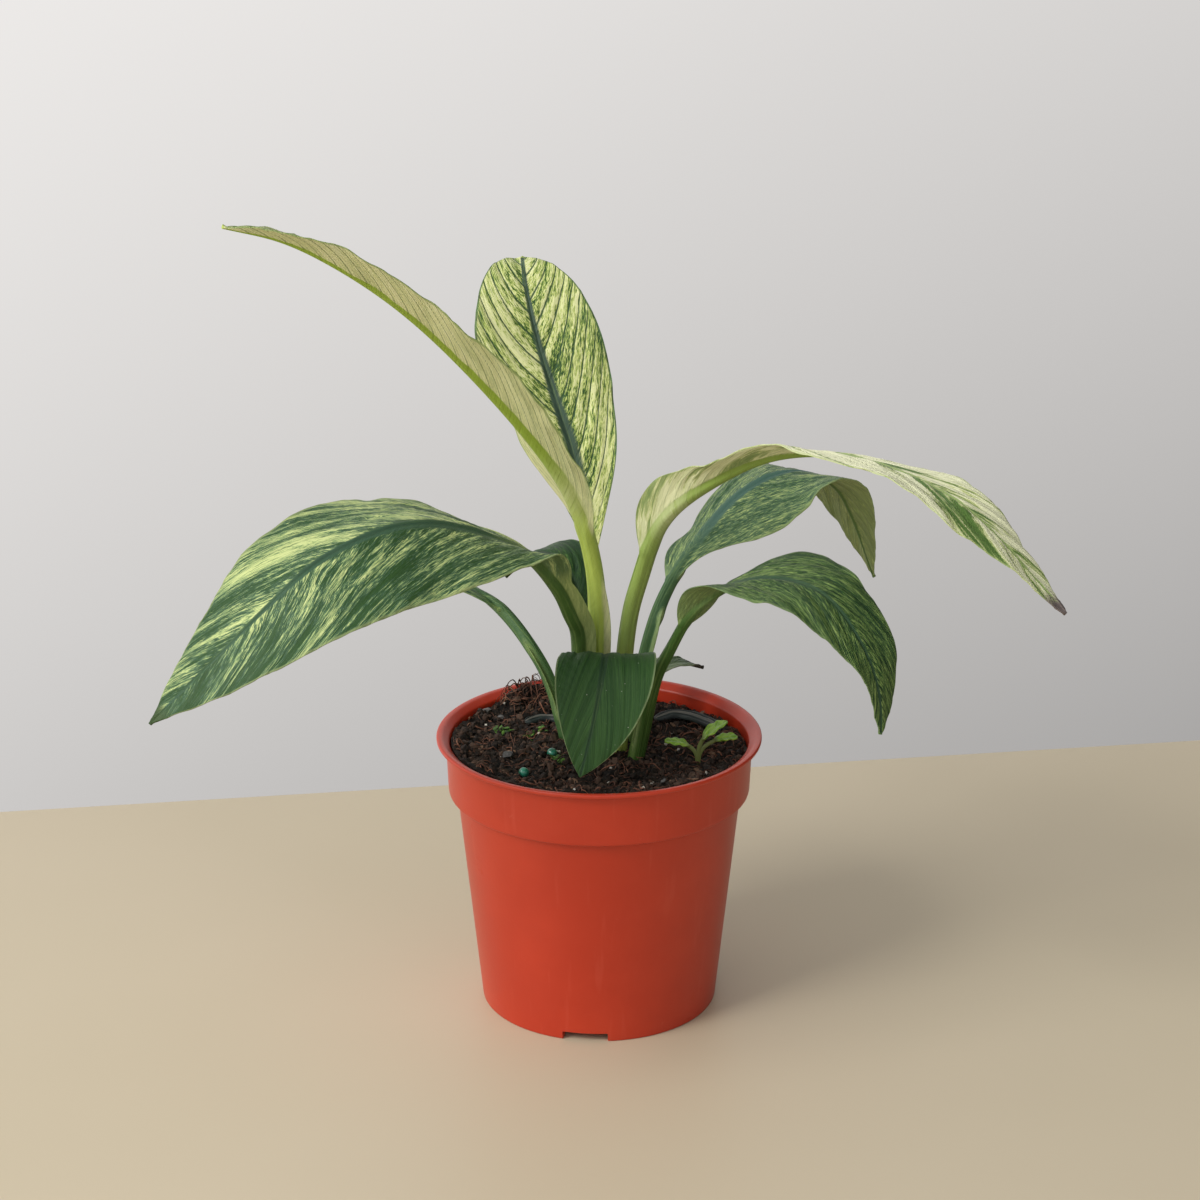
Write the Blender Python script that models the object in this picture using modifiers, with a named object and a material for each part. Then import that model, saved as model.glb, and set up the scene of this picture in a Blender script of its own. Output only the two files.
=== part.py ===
"""A potted peace lily: a nursery pot filled with soil, ten leaves, two dead leaves and a seedling.

Units are metres.  The floor is at z = 0, +x is to the right and +y goes away from the viewer.  The
origin lies under the middle of the whole plant, so the pot's own axis stands at AXIS_X, AXIS_Y.
"""
import bpy
import bmesh
from mathutils import Matrix
import numpy as np

MM = 0.001

# Where the pot's axis stands from the origin, in mm.
AXIS_X = 0.5
AXIS_Y = 29.4
AXIS_NAME = "pot_axis"
SHARP_ANGLE = 40.0

# Pot, in mm.
POT_HEIGHT = 94.0
RIM_RADIUS = 54.0
LIP_INNER_RADIUS = 51.4
LIP_THICKNESS = 1.6
COLLAR_TOP_RADIUS = 50.9
COLLAR_LOW_RADIUS = 50.2
COLLAR_LOW_Z = 74.6
BODY_TOP_RADIUS = 47.3
BASE_RADIUS = 39.6
WALL = 1.3
FOOT_HEIGHT = 3.0
FOOT_WIDTH = 2.4
FLOOR_THICKNESS = 1.4
NOTCH_WIDTH = 15.0
NOTCH_COUNT = 3
NOTCH_TURN = -96.7
DRAIN_RADIUS = 3.0
DRAIN_CIRCLE = 27.0
DRAIN_COUNT = 6
DRAIN_TURN = 25.8
DRAIN_SEGMENTS = 14
DRAIN_DEPTH = 6.0
POT_STEPS = 56
NOTCH_REACH = FOOT_WIDTH + 7.0
NOTCH_OUTER_RADIUS = BASE_RADIUS + 4.0
NOTCH_OVERCUT = 1.0
NOTCH_CEILING = 0.02
POT_COLOR = (.55, .06, .02)
POT_ROUGHNESS = 0.42

# Soil, in mm.  SOIL_RINGS are shares of the soil's radius from its edge inward.
FIT_GAP = 0.3
SOIL_TOP = 88.0
SOIL_LIMIT = 95.0
SOIL_RINGS = (1.0, 0.92, 0.80, 0.67, 0.54, 0.41, 0.28, 0.15)
SOIL_COLOR = (.045, .030, .022)
SOIL_ROUGHNESS = 0.95
HOLE_GAP = 0.5
HOLE_FLOOR = 77.6
HOLE_REACH = 9.0
HOLE_STATIONS = 9
ROD_RESOLUTION = 5
SEEDLING_HOLE_DEPTH = 14.4
SEEDLING_HOLE_RADIUS = 1.7
SEEDLING_HOLE_SEGMENTS = 10
PRILL_RADIUS = 1.9
PRILL_LIFT = 0.5
PRILLS = ((-24.4, -25.4), (-15.5, -8.2))

# Leaves, in mm and degrees.  "path" runs along the midrib from the soil to the tip.  "side" is the
# compass bearing of the leaf's left edge, seen from above and looking to the tip.  "blade" is the share
# of the length where the blade starts, "half" the half widths on the left and right, "widest" where the
# blade is widest, "full" how fast it narrows and "trim" how much of its width each side keeps.  "roll"
# turns the section, "fold" lifts each half towards the upper face, "rib" is the radius of the stalk and
# midrib and "wing" the width of the sheath wings.  The lists give a place along the leaf, from 0 to 1,
# and a value there.
BLADE_THICKNESS = 0.6
LEAF_ROUGHNESS = 0.42
STALK_SHARE = 0.3
LARGE_LEAF_MESH = (31, 3)
SMALL_LEAF_MESH = (22, 2)
SMALL_LEAF_HALF = 12.0
SEEDLING_MESH = (13, 1)
UNTRIMMED = ([(0, 1)], [(0, 1)])
LEAVES = {
    "leaf_upper_left": dict(
        path=[(-2, -1, 78), (-.5, -7, 129), (-2, -13, 159), (-11, -24, 188), (-32, -42, 220.5),
              (-58, -65, 253), (-85, -84, 275), (-105, -95, 283)],
        side=306, blade=.33, half=(18, 20), widest=.50, full=1.9, roll=[(0, 0)],
        trim=([(0, 1), (.45, .95), (.6, .8), (.75, .65), (.9, .75), (1, 1)], [(0, 1)]),
        rib=[(0, 2.5), (.32, 2.6), (.6, 1.4), (.9, .5), (1, .35)],
        wing=([(.06, 0), (.12, 2.8), (.22, 3), (.29, 0)], [(.06, 0), (.12, 1.5), (.29, 0)]),
        fold=([(.05, 10), (.33, 35), (.47, 15), (.7, 18), (.87, 36)],
              [(.05, 30), (.33, -8), (.42, -4), (.5, 10), (.62, 17), (.77, 20)]),
        wave=((.6, 3, 0), (.6, 3, .3)), color=(.56, .62, .27)),
    "leaf_upright_back": dict(
        path=[(1, 6, 78), (-1, 13, 135), (-7, 20, 178), (-14, 26, 200), (-20, 31, 219), (-23.5, 36, 233),
              (-25, 43, 241), (-25.5, 51, 243)],
        side=198, blade=.40, half=(19, 21.5), widest=.60, full=1.5, roll=[(0, 0)],
        trim=([(0, .6), (.35, .8), (.6, 1.08), (.75, 1.2), (.87, 1.1), (1, .95)],
              [(0, .7), (.3, .85), (.5, .95), (.75, 1), (.87, 1.05), (1, .95)]),
        rib=[(0, 2.2), (.38, 2.0), (.9, .5), (1, .35)],
        wing=([(.06, 0), (.12, 1.5), (.3, 0)], [(.06, 0), (.12, 1.5), (.3, 0)]),
        fold=([(.05, 20), (.38, 40), (.6, 10), (1, 5)], [(.05, 20), (.38, 40), (.6, 10), (1, 5)]),
        wave=((.6, 3, 0), (.6, 3, .3)), color=(.42, .55, .20)),
    "leaf_large_left": dict(
        path=[(-8, -4, 78), (-6, -10, 127), (-9, -17, 141), (-14, -26, 155), (-24, -38, 170),
              (-44, -55, 183), (-62, -70, 187), (-84, -84, 180), (-107, -94, 160), (-132, -100, 136)],
        side=298, blade=.32, half=(27, 25), widest=.47, full=1.9,
        roll=[(.32, 0), (.5, -32), (.6, -44), (.8, -38), (1, -20)],
        rib=[(0, 2.5), (.36, 2.2), (.9, .5), (1, .35)],
        wing=([(.06, 0), (.12, 2.5), (.27, 4.5), (.34, 3), (.38, 0)], [(.06, 0), (.12, 1.5), (.3, 0)]),
        fold=([(.1, 40), (.32, 70), (.46, 20), (.6, 0), (1, 5)],
              [(.1, 30), (.32, 20), (.46, -30), (.6, -42), (.8, -14), (1, 5)]),
        wave=((.8, 3, 0), (.6, 3, .3)), color=(.26, .45, .19)),
    "leaf_low_left": dict(
        path=[(-8, 5, 78), (-15.5, 14, 104), (-23, 20, 117), (-33, 28, 127.5), (-45, 36, 134),
              (-66, 47, 140), (-90, 58, 136), (-108, 66, 124)],
        side=242, blade=.39, half=(15, 14), widest=.45, full=2.0,
        roll=[(.05, 0), (.4, 25), (.6, 15), (1, 0)],
        rib=[(0, 2.1), (.4, 1.8), (.9, .5), (1, .35)],
        wing=([(.11, 0), (.16, 2), (.26, 2), (.32, 0)], [(.11, 0), (.16, 1.5), (.3, 0)]),
        fold=([(.1, 30), (.4, -20), (.55, -5), (1, 5)], [(.1, 40), (.38, 20), (.5, -10), (.7, 0)]),
        wave=((.6, 3, 0), (.6, 3, .3)), color=(.22, .40, .20)),
    "leaf_small_dark": dict(
        path=[(-5, 8, 78), (-5, 20, 115), (-7, 28, 133), (-13, 35, 143), (-22, 41, 143.5), (-32, 46, 133)],
        side=230, blade=.52, half=(11, 12), widest=.42, full=1.5, roll=[(0, 0)],
        rib=[(0, 1.9), (.4, 1.7), (.9, .5), (1, .35)], wing=([(0, 0)], [(0, 0)]),
        fold=([(.1, 0), (.58, 20), (.8, 0)], [(.1, 0), (.58, 30), (.8, 5)]),
        wave=((.3, 2, 0), (.3, 2, .3)), color=(.09, .22, .08)),
    "leaf_long_right": dict(
        path=[(6, -2, 78), (8.5, -9, 130), (13, -15, 153), (20, -26, 176), (35, -41, 193), (54, -58, 206.5),
              (77, -80, 211.5), (105, -103, 203.5), (131, -125, 179)],
        side=50, blade=.32, half=(17, 18), widest=.59, full=1.5,
        trim=([(0, 1), (.8, 1), (1, .5)],
              [(0, 2.2), (.08, 1.9), (.2, .85), (.35, .75), (.5, 1), (.8, 1), (1, .5)]),
        roll=[(.4, 0), (.5, -10), (.6, -19), (.68, -15), (.8, -10), (1, -8)],
        rib=[(0, 2.6), (.32, 2.5), (.6, 1.4), (.9, .5), (1, .35)],
        wing=([(0, 0)], [(0, 0)]),
        fold=([(.1, 0), (.32, 60), (.45, 40), (.53, 14), (.62, -2), (.75, 0)],
              [(.1, 0), (.32, 80), (.42, 66), (.5, 24), (.6, 0)]),
        wave=((.8, 3, 0), (1.0, 4, .5)), color=(.62, .66, .42)),
    "leaf_middle_right": dict(
        path=[(8, 5, 78), (16, 13, 120), (23, 20, 138), (34, 26, 154), (47, 32, 167), (64, 39, 173),
              (79, 45, 167), (87, 50, 153), (95, 52, 131)],
        side=122, blade=.36, half=(19, 19), widest=.47, full=1.9,
        trim=([(0, 1.5), (.07, 1.4), (.16, .6), (.3, .75), (.5, 1), (1, 1)],
              [(0, .4), (.12, .6), (.25, 1.15), (.35, 1.2), (.5, 1.1), (.7, .85), (1, .9)]),
        roll=[(.05, 0), (.3, 15), (.5, 25), (.65, 20), (.78, -2), (1, 0)],
        rib=[(0, 2.1), (.33, 1.9), (.9, .5), (1, .35)],
        wing=([(.07, 0), (.13, 1), (.28, 0)], [(.07, 0), (.13, 2.5), (.27, 3), (.31, 0)]),
        fold=([(.1, 10), (.36, 0), (.46, -32), (.6, -30), (.8, -15), (1, 5)],
              [(.1, 20), (.36, 30), (.46, 5), (.64, 0), (.74, 14), (1, 5)]),
        wave=((.6, 3, 0), (.6, 3, .9)), color=(.20, .40, .22)),
    "leaf_low_right": dict(
        path=[(10, -9, 78), (17, -16, 115), (23, -21, 131), (30, -27, 146), (42, -34, 157.5),
              (57, -43, 162), (70, -53, 159.5), (80, -60, 147), (85.5, -64, 133), (86.5, -65, 119)],
        side=52, blade=.38, half=(16, 15), widest=.48, full=1.7,
        trim=([(0, .8), (.25, .7), (.4, 1), (.7, 1), (.85, 1.15), (1, 1.2)],
              [(0, 1.2), (.2, 1), (.5, 1), (.7, .85), (.85, .7), (1, .6)]),
        roll=[(.1, 0), (.36, -22), (.47, -5), (.57, 12), (.8, 10), (1, 0)],
        rib=[(0, 2.5), (.3, 1.9), (.9, .5), (1, .35)],
        wing=([(.07, 0), (.13, 1.5), (.25, 0)], [(.07, 0), (.13, 1.5), (.25, 0)]),
        fold=([(.1, 10), (.30, -25), (.42, -28), (.49, 14), (.6, 4), (.75, 0), (1, 5)],
              [(.1, 10), (.38, 40), (.5, 20), (.62, -5), (1, 5)]),
        wave=((.8, 3, 0), (.8, 3, .9)), color=(.18, .36, .15)),
    "leaf_front_dark": dict(
        path=[(0, -10, 78), (0, -14, 111), (1, -21, 127), (2, -29, 132), (1, -37, 128), (-2, -43, 113),
              (-6, -46, 97)],
        side=355, blade=.40, half=(16.5, 15), widest=.42, full=1.5, roll=[(0, 0)],
        rib=[(0, 2.0), (.4, 1.6), (.9, .5), (1, .35)], wing=([(0, 0)], [(0, 0)]),
        fold=([(.1, 0), (.4, -5), (.55, 0), (1, 5)], [(.1, 0), (.4, -5), (.55, 0), (1, 5)]),
        wave=((.3, 2, 0), (.3, 2, .3)), color=(.05, .20, .08)),
    "leaf_little_back": dict(
        path=[(6, 12, 78), (12, 22, 97), (18, 30, 104), (27, 37, 105), (36, 43, 101)],
        side=130, blade=.50, half=(5, 5), widest=.42, full=1.7, roll=[(0, 0)],
        rib=[(0, 1.4), (.4, 1.2), (.9, .4), (1, .35)], wing=([(0, 0)], [(0, 0)]),
        fold=([(.1, 0), (.5, 20), (.7, 10)], [(.1, 0), (.5, 20), (.7, 10)]),
        wave=((.2, 2, 0), (.2, 2, .3)), color=(.25, .36, .24)),
}

# Seedling: each stem is a little leaf that grows from the same foot.
SEEDLING_COLOR = (.20, .42, .05)
SEEDLING_ROUGHNESS = 0.5
SEEDLING_FOOT = (32.5, -12.5, 80.0)
SEEDLING = (
    dict(path=[(32.5, -12.5, 80), (32.6, -12.5, 92), (34.5, -12.5, 97), (39, -12, 100.5), (42, -11, 102)],
         side=90, half=3.9, blade=.62),
    dict(path=[(32.6, -12.4, 83), (32.8, -12.4, 91), (36, -11.5, 94.5), (41, -10.5, 96), (45.5, -10, 96)],
         side=90, half=2.7, blade=.66),
    dict(path=[(32.4, -12.6, 82), (32.3, -12.5, 90), (30, -12.2, 93.5), (26, -12, 95), (21.5, -11.5, 95.5)],
         side=270, half=2.7, blade=.60),
)

# Dead leaves that lie on the soil: path over the ground and half width, in mm.
OLD_LEAF_COLOR = (.03, .035, .035)
OLD_LEAF_ROUGHNESS = 0.6
OLD_LEAF_LIFT = 0.6
OLD_LEAF_THICKNESS = (0.65, 1.75)
OLD_LEAF_BELLY = 0.2
OLD_LEAVES = {
    "old_leaf_right": dict(path=[(19, 23), (25, 27.5), (31, 26), (37, 20), (41, 13)], half=3.0),
    "old_leaf_left": dict(path=[(-25, 20), (-21, 23), (-16, 23.5), (-11.5, 21)], half=2.2),
}


def clear():
    """Empty the file."""
    for item in list(bpy.data.objects):
        bpy.data.objects.remove(item, do_unlink=True)


def material(name, color, roughness):
    """A plain material with the part's photographed colour."""
    made = bpy.data.materials.new(name)
    made.use_nodes = True
    shader = made.node_tree.nodes["Principled BSDF"]
    shader.inputs["Base Color"].default_value = (*color, 1.0)
    shader.inputs["Roughness"].default_value = roughness
    shader.inputs["Metallic"].default_value = 0.0
    made.diffuse_color = (*color, 1.0)
    return made


def hang(name, mesh, collection, finish=None, place=(0.0, 0.0, 0.0), turn=0.0):
    """Put a mesh in the collection, on the pot's axis at a place in mm and turned about its own z."""
    mesh.shade_smooth()
    mesh.set_sharp_from_angle(angle=np.radians(SHARP_ANGLE))
    if finish is not None:
        mesh.materials.append(finish)
    made = bpy.data.objects.new(name, mesh)
    made.parent = bpy.data.objects[AXIS_NAME]
    made.location = [value * MM for value in place]
    made.rotation_euler = (0.0, 0.0, turn)
    collection.objects.link(made)
    return made


def loft(name, points, faces, collection, finish=None):
    """An object from points in mm about the pot's axis, with its faces turned outward."""
    mesh = bpy.data.meshes.new(name)
    mesh.from_pydata((np.asarray(points, float) * MM).tolist(), [], [list(map(int, face)) for face in faces])
    shell = bmesh.new()
    shell.from_mesh(mesh)
    bmesh.ops.recalc_face_normals(shell, faces=shell.faces)
    shell.to_mesh(mesh)
    shell.free()
    return hang(name, mesh, collection, finish)


def primitive(name, make, collection, place, turn=0.0, **sizes):
    """An object from one of bmesh's primitives, such as a cube or a cone."""
    mesh = bpy.data.meshes.new(name)
    shell = bmesh.new()
    make(shell, **sizes)
    shell.to_mesh(mesh)
    shell.free()
    return hang(name, mesh, collection, None, place, turn)


def turned(name, profile, steps, collection, finish):
    """A profile of (radius, z) in mm, turned about the pot's axis into a closed body."""
    mesh = bpy.data.meshes.new(name)
    mesh.from_pydata([(radius * MM, 0.0, z * MM) for radius, z in profile],
                     [(k, k + 1) for k in range(len(profile) - 1)], [])
    made = hang(name, mesh, collection, finish)
    screw = made.modifiers.new("turned", "SCREW")
    screw.steps = steps
    screw.render_steps = steps
    screw.use_merge_vertices = True
    screw.merge_threshold = 0.00005
    screw.use_smooth_shade = True
    return made


def rod(name, line, radius, collection):
    """A round rod with closed ends along a line of points in mm, as a mesh."""
    curve = bpy.data.curves.new(name, "CURVE")
    curve.dimensions = "3D"
    curve.fill_mode = "FULL"
    curve.bevel_depth = radius * MM
    curve.bevel_resolution = ROD_RESOLUTION
    curve.use_fill_caps = True
    spline = curve.splines.new("POLY")
    spline.points.add(len(line) - 1)
    for point, place in zip(spline.points, line):
        point.co = (*(np.asarray(place) * MM), 1.0)
    guide = bpy.data.objects.new(name + "_guide", curve)
    collection.objects.link(guide)
    bpy.context.view_layer.update()
    mesh = bpy.data.meshes.new_from_object(guide.evaluated_get(bpy.context.evaluated_depsgraph_get()))
    bpy.data.objects.remove(guide)
    shell = bmesh.new()
    shell.from_mesh(mesh)
    bmesh.ops.remove_doubles(shell, verts=shell.verts, dist=0.00001)
    bmesh.ops.recalc_face_normals(shell, faces=shell.faces)
    shell.to_mesh(mesh)
    shell.free()
    return hang(name, mesh, collection)


def cut(target, cutter, operation="DIFFERENCE"):
    """Take the cutter away from the target, or join it on, as a modifier that stays."""
    change = target.modifiers.new(cutter.name, "BOOLEAN")
    change.operation = operation
    change.object = cutter
    change.solver = "EXACT"
    cutter.hide_render = True
    cutter.display_type = "WIRE"


def curve_through(points, count=400):
    """Smooth line through the points, evened to equal steps along its length."""
    given = np.asarray(points, float)
    given = np.vstack([2 * given[0] - given[1], given, 2 * given[-1] - given[-2]])
    u = np.linspace(0, 1, 24, endpoint=False)[:, None]
    runs = [0.5 * (2 * b + (c - a) * u + (2 * a - 5 * b + 4 * c - d) * u ** 2
                   + (3 * b - a - 3 * c + d) * u ** 3)
            for a, b, c, d in zip(given[:-3], given[1:-2], given[2:-1], given[3:])]
    line = np.vstack(runs + [given[-2:-1]])
    for _ in range(40):
        line[1:-1] = (line[:-2] + 2 * line[1:-1] + line[2:]) / 4
    run = np.concatenate([[0], np.cumsum(np.linalg.norm(np.diff(line, axis=0), axis=1))])
    even = np.linspace(0, run[-1], count)
    return np.stack([np.interp(even, run, line[:, k]) for k in range(3)], axis=-1)


def value_along(places, table):
    """Value of a table of (place, value) pairs at the places, with its corners rounded off."""
    at, value = np.array(table, float).T
    grid = np.linspace(-0.2, 1.2, 701)
    weight = np.hanning(41)
    rough = np.pad(np.interp(grid, at, value), 20, mode="edge")
    return np.interp(places, grid, np.convolve(rough, weight / weight.sum(), "valid"))


def ease(x):
    """Smooth step from 0 to 1."""
    x = np.clip(x, 0, 1)
    return x * x * (3 - 2 * x)


def leaf_surface(leaf, stations, outer_columns):
    """Upper and lower faces of a leaf as grids of points: (stations, columns, 3) each."""
    line = curve_through(leaf["path"])
    start = leaf["blade"]
    in_stalk = int(round(stations * STALK_SHARE))
    s = np.concatenate([np.linspace(0, start, in_stalk, endpoint=False),
                        np.linspace(start, 1, stations - in_stalk)])
    grid = np.linspace(0, 1, len(line))
    slope = np.gradient(line, axis=0)
    middle = np.stack([np.interp(s, grid, line[:, k]) for k in range(3)], axis=-1)
    ahead = np.stack([np.interp(s, grid, slope[:, k]) for k in range(3)], axis=-1)
    ahead /= np.linalg.norm(ahead, axis=1)[:, None]
    bearing = np.radians(leaf["side"])
    left = np.array([np.cos(bearing), np.sin(bearing), 0.0]) + 0 * ahead
    left -= ahead * np.sum(left * ahead, axis=1)[:, None]
    left /= np.linalg.norm(left, axis=1)[:, None]
    top = np.cross(ahead, left)
    roll = np.radians(value_along(s, leaf["roll"]))[:, None]
    left, top = left * np.cos(roll) + top * np.sin(roll), top * np.cos(roll) - left * np.sin(roll)

    t = np.clip((s - start) / (1 - start), 0, 1)
    peak, full = leaf["widest"], leaf["full"]
    shape = ((np.maximum(t, 1e-9) / peak) ** (full * peak)
             * (np.maximum(1 - t, 0) / (1 - peak)) ** (full * (1 - peak)))
    rib = value_along(s, leaf["rib"])
    halves = []
    for hand, sign in ((0, 1), (1, -1)):
        wing = value_along(s, leaf["wing"][hand])
        half = leaf["half"][hand] * shape * value_along(t, leaf.get("trim", UNTRIMMED)[hand])
        full_half = np.sqrt(rib ** 2 + half ** 2) + wing
        wide = ease((full_half / rib - 1.05) / 1.2)[:, None]
        share = np.arange(1, outer_columns + 1) / outer_columns
        count = outer_columns + 2
        round_x = full_half[:, None] * np.sin(np.linspace(0, np.pi / 2, count))
        flat_x = np.concatenate([rib[:, None] * np.array([0, 0.8]),
                                 rib[:, None] * 0.8 + (full_half - rib * 0.8)[:, None] * share], axis=1)
        x = round_x * (1 - wide) + flat_x * wide
        a = x / full_half[:, None]
        angle = np.radians(value_along(s, leaf["fold"][hand]))[:, None] * ease(x / (1.3 * rib[:, None]))
        angle_mid = (angle[:, 1:] + angle[:, :-1]) / 2
        step = np.diff(x, axis=1)
        out = np.concatenate([0 * x[:, :1], np.cumsum(step * np.cos(angle_mid), axis=1)], axis=1)
        up = np.concatenate([0 * x[:, :1], np.cumsum(step * np.sin(angle_mid), axis=1)], axis=1)
        height, count, phase = leaf["wave"][hand]
        fade = (ease(t * 5) * ease((1 - t) * 5))[:, None]
        up = up + height * a ** 2 * np.sin(2 * np.pi * (count * t[:, None] + phase)) * fade
        reach = full_half[:, None] * (1 - wide) * 1.001 + rib[:, None] * wide
        bump = np.sqrt(np.clip(1 - (x / reach) ** 2, 0, 1)) * rib[:, None]
        halves.append((sign * out, up, bump, wide))
    (out_l, up_l, bump_l, wide_l), (out_r, up_r, bump_r, wide_r) = halves
    out = np.concatenate([out_r[:, :0:-1], out_l], axis=1)
    up = np.concatenate([up_r[:, :0:-1], up_l], axis=1)
    bump = np.concatenate([bump_r[:, :0:-1], bump_l], axis=1)
    flat = np.maximum(wide_l, wide_r) * ease(t * 4)[:, None]
    sheet = middle[:, None] + left[:, None] * out[..., None] + top[:, None] * up[..., None]
    normal = np.cross(np.gradient(sheet, axis=0), np.gradient(sheet, axis=1))
    normal /= np.linalg.norm(normal, axis=2)[..., None]
    thick = BLADE_THICKNESS / 2
    upper = sheet + normal * (thick + bump * (1 - flat))[..., None]
    lower = sheet - normal * (thick + bump)[..., None]
    return upper, lower


def closed_strip(upper, lower):
    """Close two grids into one shell, split into the same triangles on both faces."""
    rows, columns = upper.shape[:2]
    points = np.concatenate([upper.reshape(-1, 3), lower.reshape(-1, 3)])
    under = rows * columns
    index = np.arange(under).reshape(rows, columns)
    a, b, c, d = index[:-1, :-1], index[1:, :-1], index[1:, 1:], index[:-1, 1:]
    faces = []
    for first in ((a, b, c), (a, c, d)):
        over = np.stack(first, axis=-1).reshape(-1, 3)
        faces += over.tolist() + (over[:, ::-1] + under).tolist()
    rim = np.concatenate([index[:, 0], index[-1, 1:], index[-2::-1, -1], index[0, -2:0:-1]])
    nxt = np.roll(rim, -1)
    faces += np.stack([rim, rim + under, nxt], axis=-1).tolist()
    faces += np.stack([nxt, rim + under, nxt + under], axis=-1).tolist()
    return points, faces


def leaves(collection):
    """The ten leaves, each one grown piece of stalk, sheath wings and blade."""
    for name, leaf in LEAVES.items():
        small = leaf["half"][0] < SMALL_LEAF_HALF
        stations, outer_columns = SMALL_LEAF_MESH if small else LARGE_LEAF_MESH
        points, faces = closed_strip(*leaf_surface(leaf, stations, outer_columns))
        loft(name, points, faces, collection, material(name, leaf["color"], LEAF_ROUGHNESS))


def ground(x, y):
    """Height of the soil over a place, in mm: low mounds, a heap at the back left, fine relief."""
    height = SOIL_TOP + 1.5 * np.exp(-(x ** 2 + y ** 2) / 20 ** 2)
    height = height + 6.0 * np.exp(-((x + 25) / 14) ** 2 - ((y - 42) / 9) ** 2)
    out = np.sqrt(x ** 2 + y ** 2 + 1e-9)
    height = height + 3.0 * ease((out - 30) / 18) * (0.5 - 0.5 * (0.64 * x + 0.77 * y) / out)
    height = height + 0.45 * np.sin(0.55 * x + 1.1) * np.sin(0.48 * y + 0.3)
    return height + 0.30 * np.sin(1.15 * x - 0.7 * y) + 0.25 * np.sin(1.3 * y + 0.9 * x + 2.0)


def pot(collection, cutters):
    """The pot: one thin moulding turned about its axis, with foot notches and drain holes cut."""
    lip_low = POT_HEIGHT - LIP_THICKNESS
    body_slope = (BODY_TOP_RADIUS - BASE_RADIUS) / (COLLAR_LOW_Z - 1.0)
    floor_low, floor_top = FOOT_HEIGHT, FOOT_HEIGHT + FLOOR_THICKNESS
    inner_base = BASE_RADIUS + body_slope * floor_top - WALL
    profile = [
        (0.0, floor_top), (inner_base - 0.8, floor_top), (inner_base, floor_top + 0.8),
        (BODY_TOP_RADIUS - WALL, COLLAR_LOW_Z - 1.8), (COLLAR_LOW_RADIUS - WALL, COLLAR_LOW_Z + 1.2),
        (COLLAR_TOP_RADIUS - WALL, POT_HEIGHT - 2.2), (LIP_INNER_RADIUS - 0.8, POT_HEIGHT - 0.5),
        (LIP_INNER_RADIUS, POT_HEIGHT), (RIM_RADIUS - 0.4, POT_HEIGHT), (RIM_RADIUS, POT_HEIGHT - 0.4),
        (RIM_RADIUS, lip_low + 0.4), (RIM_RADIUS - 0.3, lip_low), (COLLAR_TOP_RADIUS, lip_low),
        (COLLAR_LOW_RADIUS, COLLAR_LOW_Z + 0.5), (COLLAR_LOW_RADIUS - 0.4, COLLAR_LOW_Z),
        (BODY_TOP_RADIUS, COLLAR_LOW_Z - 0.6), (BASE_RADIUS, 0.4), (BASE_RADIUS - 0.3, 0.0),
        (BASE_RADIUS - FOOT_WIDTH, 0.0), (BASE_RADIUS - FOOT_WIDTH, floor_low), (0.0, floor_low),
    ]
    body = turned("pot", profile, POT_STEPS, collection,
                  material("pot_plastic", POT_COLOR, POT_ROUGHNESS))

    notch_height = FOOT_HEIGHT - NOTCH_CEILING + NOTCH_OVERCUT
    notch_size = Matrix.Diagonal((NOTCH_REACH * MM, NOTCH_WIDTH * MM, notch_height * MM, 1.0))
    for number in range(NOTCH_COUNT):
        bearing = np.radians(NOTCH_TURN + number * 360 / NOTCH_COUNT)
        out = NOTCH_OUTER_RADIUS - NOTCH_REACH / 2
        place = (out * np.cos(bearing), out * np.sin(bearing), notch_height / 2 - NOTCH_OVERCUT)
        cut(body, primitive(f"notch_cutter_{number}", bmesh.ops.create_cube, cutters, place, bearing,
                            size=1.0, matrix=notch_size))
    for number in range(DRAIN_COUNT):
        bearing = np.radians(DRAIN_TURN + number * 360 / DRAIN_COUNT)
        place = (DRAIN_CIRCLE * np.cos(bearing), DRAIN_CIRCLE * np.sin(bearing), (floor_low + floor_top) / 2)
        cut(body, primitive(f"drain_cutter_{number}", bmesh.ops.create_cone, cutters, place, 0.0,
                            cap_ends=True, segments=DRAIN_SEGMENTS, radius1=DRAIN_RADIUS * MM,
                            radius2=DRAIN_RADIUS * MM, depth=DRAIN_DEPTH * MM))


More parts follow.
